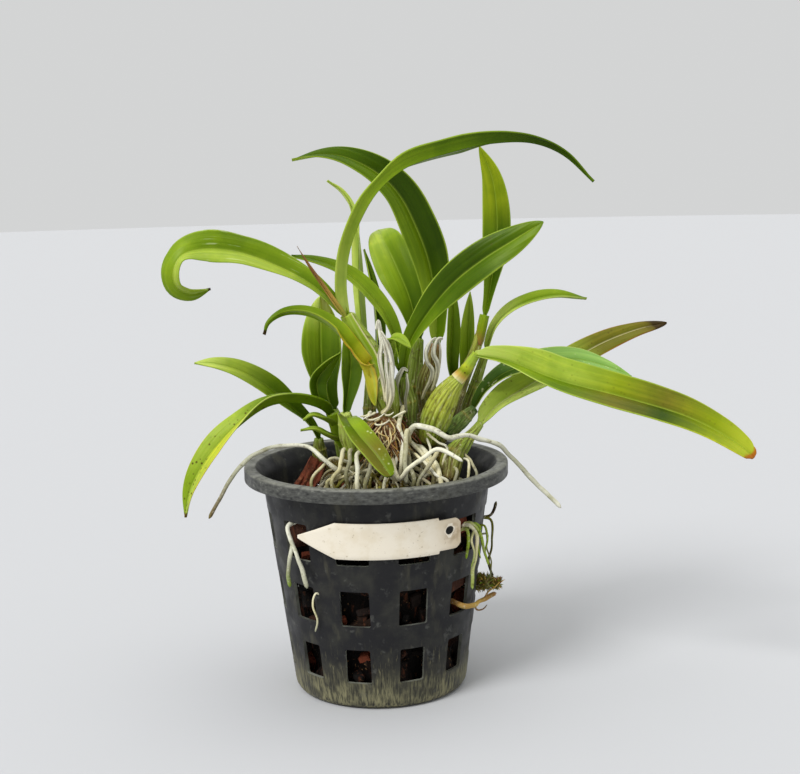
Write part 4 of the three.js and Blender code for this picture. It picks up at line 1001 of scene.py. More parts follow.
def pine_bark(name, stains):
    """Pine bark: layered and flaky, rusty where it has split and nearly black in places; in the potting mix
    the nearly black is painted shade.
    """
    material, tree, colour, place = begin(name)
    colour = stained(tree, place, colour, stains)
    flakes = add(tree, "VectorMath", {0: place, 1: (1, 1, 0.35)}, operation="MULTIPLY")
    flakes = add(tree, "TexNoise", {"Vector": flakes, "Scale": 1 / (2.5 * MM), "Detail": 5.0,
                                    "Roughness": 0.65})
    bump = add(tree, "Bump", {"Strength": 1.0, "Distance": 0.0014, "Height": flakes})
    shader = add(tree, "BsdfPrincipled", {
        "Base Color": colour, "Roughness": 0.9, "Specular IOR Level": 0.15, "Normal": bump})
    add(tree, "OutputMaterial", {"Surface": shader})
    return material


def moulded_polypropylene():
    """Injection-moulded polypropylene: satin charcoal, chalky at the rim from sun and limescale, with the cut
    faces round the windows painted a chalky light grey as a painted highlight, and a film of algae, scratched
    into upright streaks, round the foot."""
    material, tree, _, place = begin("moulded_polypropylene")
    height = add(tree, "SeparateXYZ", {0: place}, 2)
    colour = stained(tree, place, linear("#1c1c1e"), (
        (16, (1, 1, 1), 0.42, 0.7, 0.75, "#35352f"), (9, (1, 1, 0.3), 0.55, 0.72, 0.55, "#4c4a3c"),
        (5, (1, 1, 1), 0.58, 0.72, 0.45, "#5c5d58")))
    streak_place = add(tree, "VectorMath", {0: place, 1: (1, 1, 0.07)}, operation="MULTIPLY")
    streaks = add(tree, "TexNoise", {"Vector": streak_place, "Scale": 1 / (0.9 * MM), "Detail": 3.0,
                                     "Roughness": 0.6})
    cloud = add(tree, "TexNoise", {"Vector": place, "Scale": 1 / (9 * MM), "Detail": 4.0})
    # Algae: thick below 12 mm, with streaks of it up to the lowest windows.
    for low, high, streak, strength, code in (
        (0.026, 0.006, 0.28, 0.85, "#545240"), (0.02, 0.002, 0.42, 0.9, "#858162"),
        (0.036, 0.012, 0.56, 0.55, "#8d8866"),
    ):
        band = add(tree, "MapRange", {0: height, 1: low, 2: high, 4: strength}, **SOFT)
        marks = add(tree, "MapRange", {0: streaks, 1: streak, 2: streak + 0.14}, **SOFT)
        share = add(tree, "Math", {0: band, 1: marks}, operation="MULTIPLY")
        patchy = add(tree, "MapRange", {0: cloud, 1: 0.35, 2: 0.62, 3: 0.3}, **SOFT)
        share = add(tree, "Math", {0: share, 1: patchy}, operation="MULTIPLY")
        colour = add(tree, "Mix", {0: share, 6: colour, 7: linear(code)}, **RGBA)
    # The rim is duller and dusty, most of all on its top edge; fine scuffs run round it.
    outer = add(tree, "VectorMath", {0: place, 1: (1, 1, 0)}, operation="MULTIPLY")
    outer = add(tree, "VectorMath", {0: outer}, 1, operation="LENGTH")
    outer = add(tree, "MapRange", {0: outer, 1: 0.055, 2: 0.0585}, **SOFT)
    scuff_place = add(tree, "VectorMath", {0: place, 1: (0.7, 0.7, 1.6)}, operation="MULTIPLY")
    scuffs = add(tree, "TexNoise", {"Vector": scuff_place, "Scale": 1 / (2.2 * MM), "Detail": 4.0,
                                    "Roughness": 0.65})
    for low, high, start, full, strength, code in (
        (0.1, 0.1015, 0.2, 0.7, 0.7, "#62635e"), (0.1, 0.1015, 0.6, 0.72, 0.45, "#8e8e84"),
        (0.1068, 0.1078, 0.2, 0.6, 0.65, "#85857b"),
    ):
        band = add(tree, "MapRange", {0: height, 1: low, 2: high, 4: strength}, **SOFT)
        marks = add(tree, "MapRange", {0: scuffs, 1: start, 2: full}, **SOFT)
        share = add(tree, "Math", {0: band, 1: marks}, operation="MULTIPLY")
        share = add(tree, "Math", {0: share, 1: outer}, operation="MULTIPLY")
        colour = add(tree, "Mix", {0: share, 6: colour, 7: linear(code)}, **RGBA)
    # The cut faces round the windows are painted a chalky light grey, in patches: a painted highlight where
    # the wall's thickness catches the light.
    painted_reveal_highlight = add(tree, "Attribute", out=2, attribute_name="painted_lit_reveal")
    chalk = add(tree, "MapRange", {0: cloud, 1: 0.35, 2: 0.65, 3: 0.25, 4: 0.8}, **SOFT)
    share = add(tree, "Math", {0: painted_reveal_highlight, 1: chalk}, operation="MULTIPLY")
    colour = add(tree, "Mix", {0: share, 6: colour, 7: linear("#83857b")}, **RGBA)
    fine = add(tree, "TexNoise", {"Vector": place, "Scale": 1 / (0.8 * MM), "Detail": 2.0})
    bump = add(tree, "Bump", {"Strength": 0.25, "Distance": 0.0002, "Height": fine})
    rough = add(tree, "MapRange", {0: cloud, 1: 0.35, 2: 0.65, 3: 0.36, 4: 0.55}, **SOFT)
    shader = add(tree, "BsdfPrincipled", {
        "Base Color": colour, "Roughness": rough, "IOR": 1.49, "Specular IOR Level": 0.22, "Normal": bump})
    add(tree, "OutputMaterial", {"Surface": shader})
    return material


def cream_polystyrene():
    """Plant label of white polystyrene that has yellowed, with soil rubbed in round its hole."""
    material, tree, _, place = begin("yellowed_polystyrene")
    run = add(tree, "Attribute", out=2, attribute_name="millimetres")
    upright = add(tree, "Attribute", out=2, attribute_name="upright")
    colour = stained(tree, place, linear("#eae1ce"), (
        (9, (1, 1, 1), 0.45, 0.7, 0.6, "#dccfb4"), (2, (1, 1, 1), 0.62, 0.7, 0.5, "#9c8a66"),
        (1.2, (1, 1, 1), 0.68, 0.74, 0.6, "#6d5d44")))
    across = add(tree, "Math", {0: run, 1: LABEL["hole_x"] + 2.2}, operation="SUBTRACT")
    rise = add(tree, "Math", {0: upright, 1: LABEL["hole_rise"] - 1}, operation="SUBTRACT")
    offset = add(tree, "CombineXYZ", {0: across, 1: rise})
    gap = add(tree, "VectorMath", {0: offset}, 1, operation="LENGTH")
    cloud = add(tree, "TexNoise", {"Vector": place, "Scale": 1 / (2.5 * MM), "Detail": 4.0})
    near = add(tree, "MapRange", {0: gap, 1: 7.5, 2: 2.0}, **SOFT)
    marks = add(tree, "MapRange", {0: cloud, 1: 0.35, 2: 0.65, 3: 0.2, 4: 0.75}, **SOFT)
    share = add(tree, "Math", {0: near, 1: marks}, operation="MULTIPLY")
    colour = add(tree, "Mix", {0: share, 6: colour, 7: linear("#7d6442")}, **RGBA)
    yellow = add(tree, "MapRange", {0: run, 1: LABEL["tab_start"] - 6, 2: LABEL["right"], 4: 0.5}, **SOFT)
    colour = add(tree, "Mix", {0: yellow, 6: colour, 7: linear("#c8b088")}, **RGBA)
    bump = add(tree, "Bump", {"Strength": 0.15, "Distance": 0.0002, "Height": cloud})
    shader = add(tree, "BsdfPrincipled", {
        "Base Color": colour, "Roughness": 0.42, "IOR": 1.58, "Specular IOR Level": 0.4, "Normal": bump})
    add(tree, "OutputMaterial", {"Surface": shader})
    return material


# ---------------------------------------------------------------- settings


class PotSettings(bpy.types.PropertyGroup):
    facets: bpy.props.IntProperty(
        name="Facets", description="Flats round the pot's wall", default=198, min=33)
    wall: bpy.props.FloatProperty(
        name="Wall", description="Thickness of the pot's wall", default=POT_WALL * MM, unit="LENGTH",
        subtype="DISTANCE")
    rim_radius: bpy.props.FloatProperty(
        name="Rim radius", description="Outer radius of the rim", default=62.5 * MM, unit="LENGTH",
        subtype="DISTANCE")
    height: bpy.props.FloatProperty(
        name="Height", description="Height of the rim's top", default=108 * MM, unit="LENGTH",
        subtype="DISTANCE")
    window_columns: bpy.props.IntProperty(
        name="Window columns", description="Windows in each row round the wall", default=11, min=3)
    corner: bpy.props.FloatProperty(
        name="Window corner", description="Radius of a window's corner", default=0.9 * MM, unit="LENGTH",
        subtype="DISTANCE")


class LabelSettings(bpy.types.PropertyGroup):
    thick: bpy.props.FloatProperty(
        name="Thickness", description="Thickness of the label", default=0.8 * MM, unit="LENGTH",
        subtype="DISTANCE")


class LeafSettings(bpy.types.PropertyGroup):
    thick: bpy.props.FloatProperty(
        name="Midrib thickness", description="Thickness at the midrib", default=1.5 * MM, unit="LENGTH",
        subtype="DISTANCE")
    edge: bpy.props.FloatProperty(
        name="Edge thickness", description="Thickness near the margin", default=0.75 * MM, unit="LENGTH",
        subtype="DISTANCE")
    steps: bpy.props.IntProperty(name="Steps", description="Sections along each leaf", default=76, min=8)


class BulbSettings(bpy.types.PropertyGroup):
    sides: bpy.props.IntProperty(name="Sides", description="Points round each pseudobulb", default=84, min=8)
    steps: bpy.props.IntProperty(
        name="Steps", description="Sections along each pseudobulb", default=46, min=5)


class RootSettings(bpy.types.PropertyGroup):
    fine_roots: bpy.props.IntProperty(
        name="Fine roots", description="Thinner roots drawn between the main ones", default=58, min=0)
    fibres: bpy.props.IntProperty(
        name="Fibres", description="Dry fibres that hang under the crown", default=230, min=0)
    wander: bpy.props.FloatProperty(
        name="Wander", description="How far a root strays from its course", default=0.9 * MM, unit="LENGTH",
        subtype="DISTANCE")


class MixSettings(bpy.types.PropertyGroup):
    small_chips: bpy.props.IntProperty(
        name="Small chips", description="Loose chips between the large chunks", default=230, min=0)
    crumbs: bpy.props.IntProperty(
        name="Crumbs", description="Crumbs and moss leaves on the top of the mix", default=260, min=0)
    shrink: bpy.props.FloatProperty(
        name="Wall gap", description="Room between the mix and the pot's wall", default=0.7 * MM,
        unit="LENGTH", subtype="DISTANCE")


class StageSettings(bpy.types.PropertyGroup):
    floor: bpy.props.FloatVectorProperty(
        name="Floor colour", description="Colour of the floor", default=linear("#bdbec0")[:3],
        subtype="COLOR", min=0, max=1)
    surroundings: bpy.props.FloatVectorProperty(
        name="Surroundings", description="Colour of the surroundings", default=linear("#f0f1f1")[:3],
        subtype="COLOR", min=0, max=1)


class PlantTints(bpy.types.PropertyGroup):
    __annotations__ = {
        name: bpy.props.FloatVectorProperty(
            name=name.capitalize(), description=what, default=linear(code)[:3], subtype="COLOR", min=0, max=1)
        for name, (code, what) in TINTS.items()
    }


# ---------------------------------------------------------------- pieces


def rounded_box(width, height, depth, corner, turn_deg, radius, z):
    """A window cutter: a box with four rounded edges, stood through the wall."""
    outline = []
    for cx, cz, start in ((1, 1, 0), (-1, 1, 90), (-1, -1, 180), (1, -1, 270)):
        for step in range(4):
            angle = math.radians(start + 30 * step)
            outline.append((cx * (width / 2 - corner) + corner * math.cos(angle),
                            cz * (height / 2 - corner) + corner * math.sin(angle)))
    turn = Matrix.Rotation(math.radians(turn_deg), 3, "Z")
    rings = np.array([[tuple(turn @ Vector((x, -radius + side * depth / 2, z + h))) for x, h in outline]
                      for side in (1, -1)])
    return rings, skin(rings)


def arc(centre_r, centre_z, radius, start, end, count=4):
    """A rounded corner of the pot's profile."""
    angles = np.radians(np.linspace(start, end, count))
    return [(centre_r + radius * math.cos(a), centre_z + radius * math.sin(a)) for a in angles]


class ORCHID_OT_pot(bpy.types.Operator):
    """Moulds the slotted pot"""

    bl_idname = "orchid.pot"
    bl_label = "Pot"

    def execute(self, context):
        s = context.scene.orchid_pot
        wall, rim, top = s.wall / MM, s.rim_radius / MM, s.height / MM
        neck = POT_PROFILE_NECK
        profile = [(0.0, 0.0), (38.0, 0.0), (40.3, 1.0), (41.15, 2.4)]
        profile += [(pot_radius(z), z) for z in (4, 12, 30, 38, 58, 70, 88, 97)]
        profile += [(54.0, neck), (54.6, neck), (rim - 1.2, neck - 0.3)]
        profile += arc(rim - 0.7, neck + 0.5, 0.7, -80, 0)
        profile += arc(rim - 0.9, top - 0.9, 0.9, 0, 90)
        profile += [(rim - 2.6, top), (rim - 3.0, top - 0.25), (rim - 4.6, top - 0.25)]
        profile += arc(rim - 4.8, top - 1.05, 0.8, 90, 170, 3)
        profile += [(53.6, neck + 1.5), (pot_radius(neck) - wall + 0.1, neck - 2)]
        profile += [(pot_radius(z) - wall, z) for z in (88, 70, 58, 38, 30, 12, 4)]
        profile += [(38.7, 2.5), (37.5, 2.2), (0.0, 2.2)]
        angles = np.linspace(0, 2 * np.pi, s.facets, endpoint=False)
        points, faces = [(0, 0, profile[0][1])], []
        for r, z in profile[1:-1]:
            points += [(r * math.sin(a), -r * math.cos(a), z) for a in angles]
        points.append((0, 0, profile[-1][1]))
        rows, n = len(profile) - 2, s.facets
        for i in range(n):
            j = (i + 1) % n
            faces.append((0, 1 + j, 1 + i))
            for r in range(rows - 1):
                a = 1 + r * n
                faces.append((a + i, a + j, a + n + j, a + n + i))
            faces.append((1 + (rows - 1) * n + i, 1 + (rows - 1) * n + j, len(points) - 1))
        shape = Shape()
        shape.add(points, faces)
        pot = shape.plain("slotted_pot")
        cutters = Shape()
        for z, height, width in WINDOW_ROWS:
            for column in range(s.window_columns):
                turn = WINDOW_START_DEG + 360 * column / s.window_columns
                cutters.add(*rounded_box(width, height, WINDOW_CUT, s.corner / MM, turn, pot_radius(z), z))
        for i in range(DRAIN["count"]):
            turn = 360 * i / DRAIN["count"]
            cutters.add(*rounded_box(
                DRAIN["width"], DRAIN["cut"], DRAIN["length"], DRAIN["corner"], turn, DRAIN["ring"], 0))
        cut(pot, cutters.plain("window_cutters"))
        mesh = pot.data
        mesh.shade_smooth()
        mesh.set_sharp_from_angle(angle=math.radians(35))
        # The cut faces round the windows are marked so that the material paints them lighter: a painted
        # highlight where the wall's thickness catches the light.
        layer = mesh.attributes.new("painted_lit_reveal", "FLOAT", "FACE")
        for face, mark in zip(mesh.polygons, layer.data):
            out = Vector((face.center.x, face.center.y, 0)).normalized()
            mark.value = float(abs(face.normal.dot(out)) < 0.4 and 0.01 < face.center.z < 0.09)
        bevel = pot.modifiers.new("worn_edges", "BEVEL")
        bevel.width, bevel.segments, bevel.limit_method = 0.3 * MM, 2, "ANGLE"
        bevel.angle_limit = math.radians(50)
        bevel.harden_normals = True
        finished(pot, moulded_polypropylene(), "pot", "pot")
        return {"FINISHED"}


class ORCHID_OT_label(bpy.types.Operator):
    """Bends the blank label round the front of the pot"""

    bl_idname = "orchid.label"
    bl_label = "Label"

    def execute(self, context):
        thick = context.scene.orchid_label.thick / MM
        left, right, bend = LABEL["left"], LABEL["right"], LABEL["bend_radius"]
        shoulder, tab, full = left + LABEL["point_length"], LABEL["tab_start"], LABEL["height"] / 2
        chamfer, blunt = LABEL["chamfer"], LABEL["blunt"]
        xs = np.unique(np.concatenate([
            np.linspace(left, shoulder, 14), np.linspace(shoulder, tab, 30),
            np.linspace(tab + 0.4, right - chamfer, 8), right - chamfer + chamfer * np.linspace(0, 1, 8)]))
        lean = Matrix.Rotation(math.radians(LABEL["lean_deg"]), 3, "X")
        front = pot_radius(LABEL["z"]) + LABEL["gap"] + thick / 2

        def bent(x, height, out):
            angle, radius = x / bend, bend + out
            flat = Vector((radius * math.sin(angle), bend - radius * math.cos(angle), height))
            return tuple(lean @ flat + Vector((0, -front, LABEL["z"])))

        soft, rows, upright = 0.22, [], []
        shares = np.linspace(-1, 1, 9)
        for x in xs:
            if x < shoulder:
                half = blunt + (full - blunt) * (x - left) / (shoulder - left)
            elif x <= tab:
                half = full
            else:
                half = full - LABEL["tab_inset"]
                if right - x < chamfer:
                    half -= 0.25 * (chamfer - (right - x)) ** 2
            ring = [(h, thick / 2) for h in shares * (half - soft)]
            ring += [(half - 0.06, thick / 2 - 0.1), (half, 0), (half - 0.06, -thick / 2 + 0.1)]
            ring += [(h, -thick / 2) for h in shares[::-1] * (half - soft)]
            ring += [(-half + 0.06, -thick / 2 + 0.1), (-half, 0), (-half + 0.06, thick / 2 - 0.1)]
            rows.append([bent(x, h, o) for h, o in reversed(ring)])
            upright += [h for h, _ in reversed(ring)]
        rings = np.array(rows)
        shape = Shape("millimetres", "upright")
        shape.add(rings, skin(rings), millimetres=np.repeat(xs, rings.shape[1]), upright=upright)
        plate = shape.piece("plant_label", cream_polystyrene(), "label", "label", sharp=50)
        angles = np.linspace(0, 2 * np.pi, 40, endpoint=False)
        x, rise, radius = LABEL["hole_x"], LABEL["hole_rise"], LABEL["hole_radius"]
        ends = np.array([[bent(x + radius * math.cos(a), rise + radius * math.sin(a), out) for a in angles]
                         for out in (-5, 5)])
        hole = Shape()
        hole.add(ends, skin(ends))
        material = plate.data.materials[0]
        cut(plate, hole.plain("hole_cutter"))
        plate.data.materials.clear()
        plate.data.materials.append(material)
        plate.data.set_sharp_from_angle(angle=math.radians(50))
        return {"FINISHED"}


class ORCHID_OT_potting_mix(bpy.types.Operator):
    """Fills the pot with chunks and chips of bark, and strews crumbs and moss on top"""

    bl_idname = "orchid.potting_mix"
    bl_label = "Potting mix"

    def execute(self, context):
        s = context.scene.orchid_mix
        random = seeded(MIX["seed"])

        def limit(z):
            return pot_radius(min(max(z, 0), MIX_TOP)) - POT_WALL - s.shrink / MM

        def core(z):
            return pot_radius(z) - POT_WALL - MIX["core_inset"]

        # Most chunks are nearly black: painted shade for the dark inside of the pot, over the bark's brown; a
        # few are rusty.
        bark_and_shade_browns = ("#120d0a", "#1c1410", "#150f0c", "#3a2218", "#0e0b09", "#6b3523", "#22160f")
        shape = Shape()
        # The mix's core is a nearly black body under the chunks: painted shade for the dark inside of the
        # pot.
        profile = [(0.01, 5), (core(5), 5), (core(40), 40), (core(MIX["level"]), MIX["level"] - 8)]
        profile += [(r, MIX["level"] - 5 + (MIX["mound"] - 3) * math.exp(-((r / 27) ** 2)))
                    for r in (32, 26, 20, 15, 10, 6)]
        profile.append((0.01, MIX["level"] + MIX["mound"] - 7))
        angles = np.linspace(0, 2 * np.pi, 72, endpoint=False)
        rings = np.array([[(r * math.cos(a), r * math.sin(a), z) for a in angles] for r, z in profile])
        shape.add(rings, skin(rings), tint=linear("#0c0907")[:3])
        for layer, z in enumerate(MIX["layers"]):
            around = 8 + layer
            for i in range(around):
                angle = 2 * math.pi * (i + (layer % 2) / 2 + 0.3 * random()) / around
                r = pot_radius(z) - 9.5 + 3 * random()
                size = (11 + 6 * random(), 8 + 5 * random(), 12 + 6 * random())
                centre = (r * math.cos(angle), r * math.sin(angle), z + 4 * random())
                turn = turned(random)
                chunk(shape, size, centre, turn, random, bark_and_shade_browns[(3 * i + 2 * layer) % 7], limit)
        for i in range(MIX["top_chunks"]):
            angle, r = i * 2.4, 12 + 31 * math.sqrt(i / MIX["top_chunks"])
            x, y = r * math.cos(angle), r * math.sin(angle)
            size = (9 + 6 * random(), 6 + 4 * random(), 9 + 5 * random())
            turn = turned(random)
            chunk(shape, size, (x, y, mound_surface(x, y) - 5), turn, random, bark_and_shade_browns[i * 3 % 7], limit)
        # Small chips lie in the gaps: two thirds behind the windows, the rest on the top.
        for i in range(s.small_chips):
            size = (3 + 4 * random(), 2 + 2 * random(), 3 + 5 * random())
            turn = turned(random)
            if i % 3:
                angle, z = 2 * math.pi * random(), 8 + 86 * random()
                r = limit(z) - 2 - 4 * random()
                centre = (r * math.cos(angle), r * math.sin(angle), z)
            else:
                angle, r = 2 * math.pi * random(), 48 * math.sqrt(random())
                x, y = r * math.cos(angle), r * math.sin(angle)
                centre = (x, y, mound_surface(x, y) - 2 + 2 * random())
            chunk(shape, size, centre, turn, random, bark_and_shade_browns[i * 5 % 7], limit, cuts=1, rough=0.25)
        crumbs = ("#5a3a24", "#8a8436", "#a08a56", "#3c2618", "#76782a")
        for i in range(s.crumbs):
            x, y = 8 + 44 * (random() - 0.5), -18 + 34 * (random() - 0.5)
            size = (0.8 + 1.6 * random(), 0.6 + random(), 0.8 + 2.2 * random())
            turn = turned(random)
            centre = (x, y, mound_surface(x, y) + 0.5 + 2.5 * random())
            chunk(shape, size, centre, turn, random, crumbs[i % 5], limit, 0, 0.1)
        # The large near-black cloudy patches on the bark are painted shade inside the pot.
        bark = pine_bark("pine_bark_with_painted_shade", (
            (3, (1, 1, 0.3), 0.55, 0.7, 0.45, "#6a3c26"), (2, (1, 1, 1), 0.62, 0.72, 0.5, "#a07850"),
            (12, (1, 1, 1), 0.55, 0.68, 0.5, "#0d0a08")))
        shape.piece("bark_potting_mix", bark, "potting_mix", "potting_mix", sharp=40)
        return {"FINISHED"}


def turned(random):
    """A random turn about x, then y, then z of the turned piece, as in the solids."""
    x, y, z = (Matrix.Rotation(random() * 6, 3, axis) for axis in "XYZ")
    return x @ y @ z


class ORCHID_OT_bark(bpy.types.Operator):
    """Sets the bark slab and the loose chip on the mix"""

    bl_idname = "orchid.bark"
    bl_label = "Bark"

    def execute(self, context):
        material = pine_bark("split_pine_bark", (
            (4, (1, 1, 1), 0.42, 0.62, 0.85, "#3c241a"), (2, (1, 1, 1), 0.55, 0.68, 0.7, "#9a6242"),
            (1.5, (1, 1, 1), 0.6, 0.7, 0.6, "#1f1510"), (7, (1, 1, 1), 0.58, 0.7, 0.4, "#5b5a30")))
        for name, bark in BARK.items():
            shape = Shape()
            turn = Vector((0, 0, 1)).rotation_difference(Vector(bark["lean"]).normalized()).to_matrix()
            chunk(shape, bark["size"], bark["centre"], turn, seeded(bark["seed"]), "#6a3624", None, 13, 1.3)
            shape.piece("pine_" + name, material, "bark", name, sharp=40)
        return {"FINISHED"}


class ORCHID_OT_rhizome(bpy.types.Operator):
    """Grows the creeping stem and the dry fibres that hang from it"""

    bl_idname = "orchid.rhizome"
    bl_label = "Rhizome"

    def execute(self, context):
        material = velamen()
        shape = Shape()
        for i, (radius, path) in enumerate(RHIZOME):
            rings = Course(path).length / 2.2
            swell = [radius * (1 + 0.09 * (k % 2)) for k in range(max(3, int(rings)))]
            strand(shape, path, swell, "brown bark brown" if i == OLD_STUB else "brown olive brown", 22, 0.8,
                   0.35, i, pleat=0.05)
        shape.piece("creeping_rhizome", material, "rhizome", "rhizome")
        # Fibres cloak the old stub in front of the crown and hang below it; pale ones curl at its top.
        random = seeded(FIBRE_SEED)
        stub = Course(RHIZOME[OLD_STUB][1])
        fibres = Shape()
        dry = ("rust bark", "bark straw", "brown rust", "cream straw", "bark cream", "umber rust")
        for i in range(context.scene.orchid_roots.fibres):
            root = stub.at(0.75 * random())
            angle = math.pi * (random() * 1.5 - 1.25)
            dx, dy = math.cos(angle), math.sin(angle)
            x, y, z = root[0] + 4.2 * dx, root[1] + 4.2 * dy, root[2] + 2 * random()
            out, drop = 1 + 7 * random(), 4 + 15 * random()
            sway = (random() - 0.5) * 16
            path = [(x - 1.5 * dx, y - 1.5 * dy, z + 1.5),
                    (x + dx * out * 0.6, y + dy * out * 0.6, z - drop * 0.2),
                    (x + dx * out + sway * 0.4, y + dy * out, z - drop * 0.6),
                    (x + dx * out * 0.8 + sway, y + dy * out, z - drop)]
            strand(fibres, path, (0.42, 0.34, 0.18), dry[i % 6], 5, 1.2, 1.3, i)
        for i in range(7):
            x, z, turn, size = -6 + 18 * random(), 129 + 5 * random(), 6 * random(), 1.6 + 3 * random()
            path = [(x + size * math.cos(turn + k), -14.5 - 2.2 * k / 3 - random(),
                     z + 0.5 * size * math.sin(1.3 * turn + k))
                    for k in range(5)]
            strand(fibres, path, (0.5, 0.5, 0.3), "cream chalk", 6, 0.8, 0.3, i)
        fibres.piece("dry_crown_fibres", material, "root")
        return {"FINISHED"}


class ORCHID_OT_pseudobulbs(bpy.types.Operator):
    """Grows the ribbed pseudobulbs and leafy stems"""

    bl_idname = "orchid.pseudobulbs"
    bl_label = "Pseudobulbs"

    def execute(self, context):
        s = context.scene.orchid_bulbs
        material = pseudobulb_skin()
        for index, (name, bulb) in enumerate(BULBS.items()):
            course = Course(bulb["axis"])
            t = np.linspace(0, 1, s.steps + 1)
            centre, tangents = course.at(t), course.tangent(t)
            side, across = carried_frame(tangents)
            reach = bulb_reach(bulb, t)
            angle = np.linspace(0, 2 * np.pi, s.sides, endpoint=False)
            bend = np.array([clouds([(math.cos(a) * 1.4, math.sin(a) * 1.4, u * 2 + index) for a in angle])
                             for u in t])
            ribs = bulb["ribs"]
            twist = angle[None] + 0.12 * np.sin(3 * t + index)[:, None]
            rib = (0.5 + 0.5 * np.cos(ribs * twist + 6 * bend)) ** 0.4
            minor = 0.5 + 0.5 * np.cos(2.7 * ribs * angle[None] + 5 * bend)
            strength = bulb["depth"] * smoothstep(t * 5) * smoothstep((1 - t) * 6)
            strength = strength * smoothstep((bulb.get("ribbed_to", 2) - t) / 0.12)
            joint = sum(np.exp(-(((t - j) * course.length / 0.55) ** 2)) for j in bulb["joints"])
            furrows = 1.3 * (1 - rib) + 0.35 * (1 - minor)
            out = reach[:, None] * (1 - strength[:, None] * furrows + 0.04 * bend)
            out = out + 0.3 * joint[:, None]
            ring = spokes(angle, side, across)
            rings = centre[:, None] + out[..., None] * ring
            active = (strength / max(bulb["depth"], 1e-6))[:, None]
            tint = tinted(bulb["tints"], t)[:, None] * np.ones((1, s.sides, 1))
            # The rib crests are painted paler and the furrows browner, in patches: a painted highlight on the
            # crests and painted shade in the furrows.
            tint = blend(tint, tinted("pale", 0), active * 0.3 * rib**2)
            painted_furrow_shade = np.clip((0.6 + bend) * (1 - rib) ** 1.6 + 0.3 * (1 - minor) ** 3, 0, 0.85)
            tint = blend(tint, tinted("brown", 0), active * painted_furrow_shade)
            foot = smoothstep(1 - 2 * t)[:, None]
            tint = blend(tint, tinted("umber", 0), 0.6 * np.clip(bend - 0.15, 0, 1) * foot)
            scale = joint[:, None] * smoothstep((bend + 0.35) / 0.3)
            tint = blend(tint, tinted("straw", 0) * 1.1, 0.4 * np.clip(scale, 0, 1))
            shape = Shape("around", "millimetres")
            shape.add(rings, skin(rings), tint=tint.reshape(-1, 3),
                      around=np.abs(np.tile(angle, len(t)) - np.pi) * 5,
                      millimetres=np.repeat(t * course.length, s.sides))
            shape.piece("ribbed_" + name, material, "pseudobulb", name)
        return {"FINISHED"}


def bulb_reach(bulb, t):
    """A pseudobulb's radius, smoothed between the solid's few stations and closed at both ends."""
    fine = np.linspace(0, 1, 201)
    reach = np.convolve(np.pad(along(bulb["radii"], fine), 15, "edge"), np.ones(31) / 31, "valid")
    reach = np.interp(t, fine, reach)
    return reach * np.where(t <= 0, 0.75, 1) * np.where(t >= 1, 0.6, 1)


class ORCHID_OT_leaves(bpy.types.Operator):
    """Grows the leathery leaves and the leaf bases that wrap the stems"""

    bl_idname = "orchid.leaves"
    bl_label = "Leaves"

    def execute(self, context):
        s = context.scene.orchid_leaves
        material = leaf_cuticle()
        for index, (name, leaf) in enumerate(LEAVES.items()):
            shape = Shape(*LEAF_FIELDS)
            blade(shape, leaf, s.thick / MM, s.edge / MM, s.steps, seed=index)
            shape.piece("blade_" + name, material, "leaf", name)
        for index, wrap in enumerate(WRAPS):
            bulb = BULBS[wrap["on"]]
            course = Course(bulb["axis"])
            share = np.linspace(0, 1, WRAP_STATIONS)
            t = wrap["from"] + (wrap["to"] - wrap["from"]) * share
            centre, tangents = course.at(t), course.tangent(t)
            front = unit(np.array([0, -1.0, 0]) - tangents * -tangents[:, 1:2])
            rightward = np.cross(tangents, front)
            u = np.concatenate([np.linspace(-1, 1, WRAP_POINTS), np.linspace(1, -1, WRAP_POINTS)])
            above = np.arange(len(u)) < WRAP_POINTS
            facing, spread = along(wrap["facing"], share), along(wrap["spread"], share)
            angle = np.radians(facing[:, None] + spread[:, None] * u)
            brink = np.abs(u)[None] ** 6
            lift = wrap["lift"] * (1 + 0.35 * brink) + np.where(above, 0.0, -0.45)[None]
            waves = clouds([(a, b, index) for b in share * 6 for a in u * 3]).reshape(len(share), len(u))
            reach = bulb_reach(bulb, np.minimum(t, 0.985))[:, None] + lift + 0.08 * waves
            spin = np.cos(angle)[..., None] * front[:, None] + np.sin(angle)[..., None] * rightward[:, None]
            rings = (centre[:, None] + reach[..., None] * spin)[:, ::-1]
            tint = tinted(wrap["tints"], share)[:, None] * np.ones((1, len(u), 1))
            rim = smoothstep((np.abs(u[None]) * np.ones((len(share), 1)) - 0.9) / 0.07)
            tint = blend(tint, tinted(wrap["edge"], 0), 0.85 * rim)
            crease = np.exp(-(((u[None] - 0.72) * np.radians(spread)[:, None] * 5 / 0.35) ** 2))
            tint = blend(tint, tinted("pale", 0), 0.6 * crease)[:, ::-1]
            shape = Shape(*LEAF_FIELDS)
            shape.add(rings, skin(rings), tint=tint.reshape(-1, 3), specks=wrap.get("specks", 0),
                      millimetres=np.repeat(t * course.length, len(u)),
                      sideways=(np.radians(spread[:, None]) * 5 * u[None, ::-1]).ravel())
            shape.piece("leaf_base_%d" % (index + 1), material, "leaf")
        return {"FINISHED"}


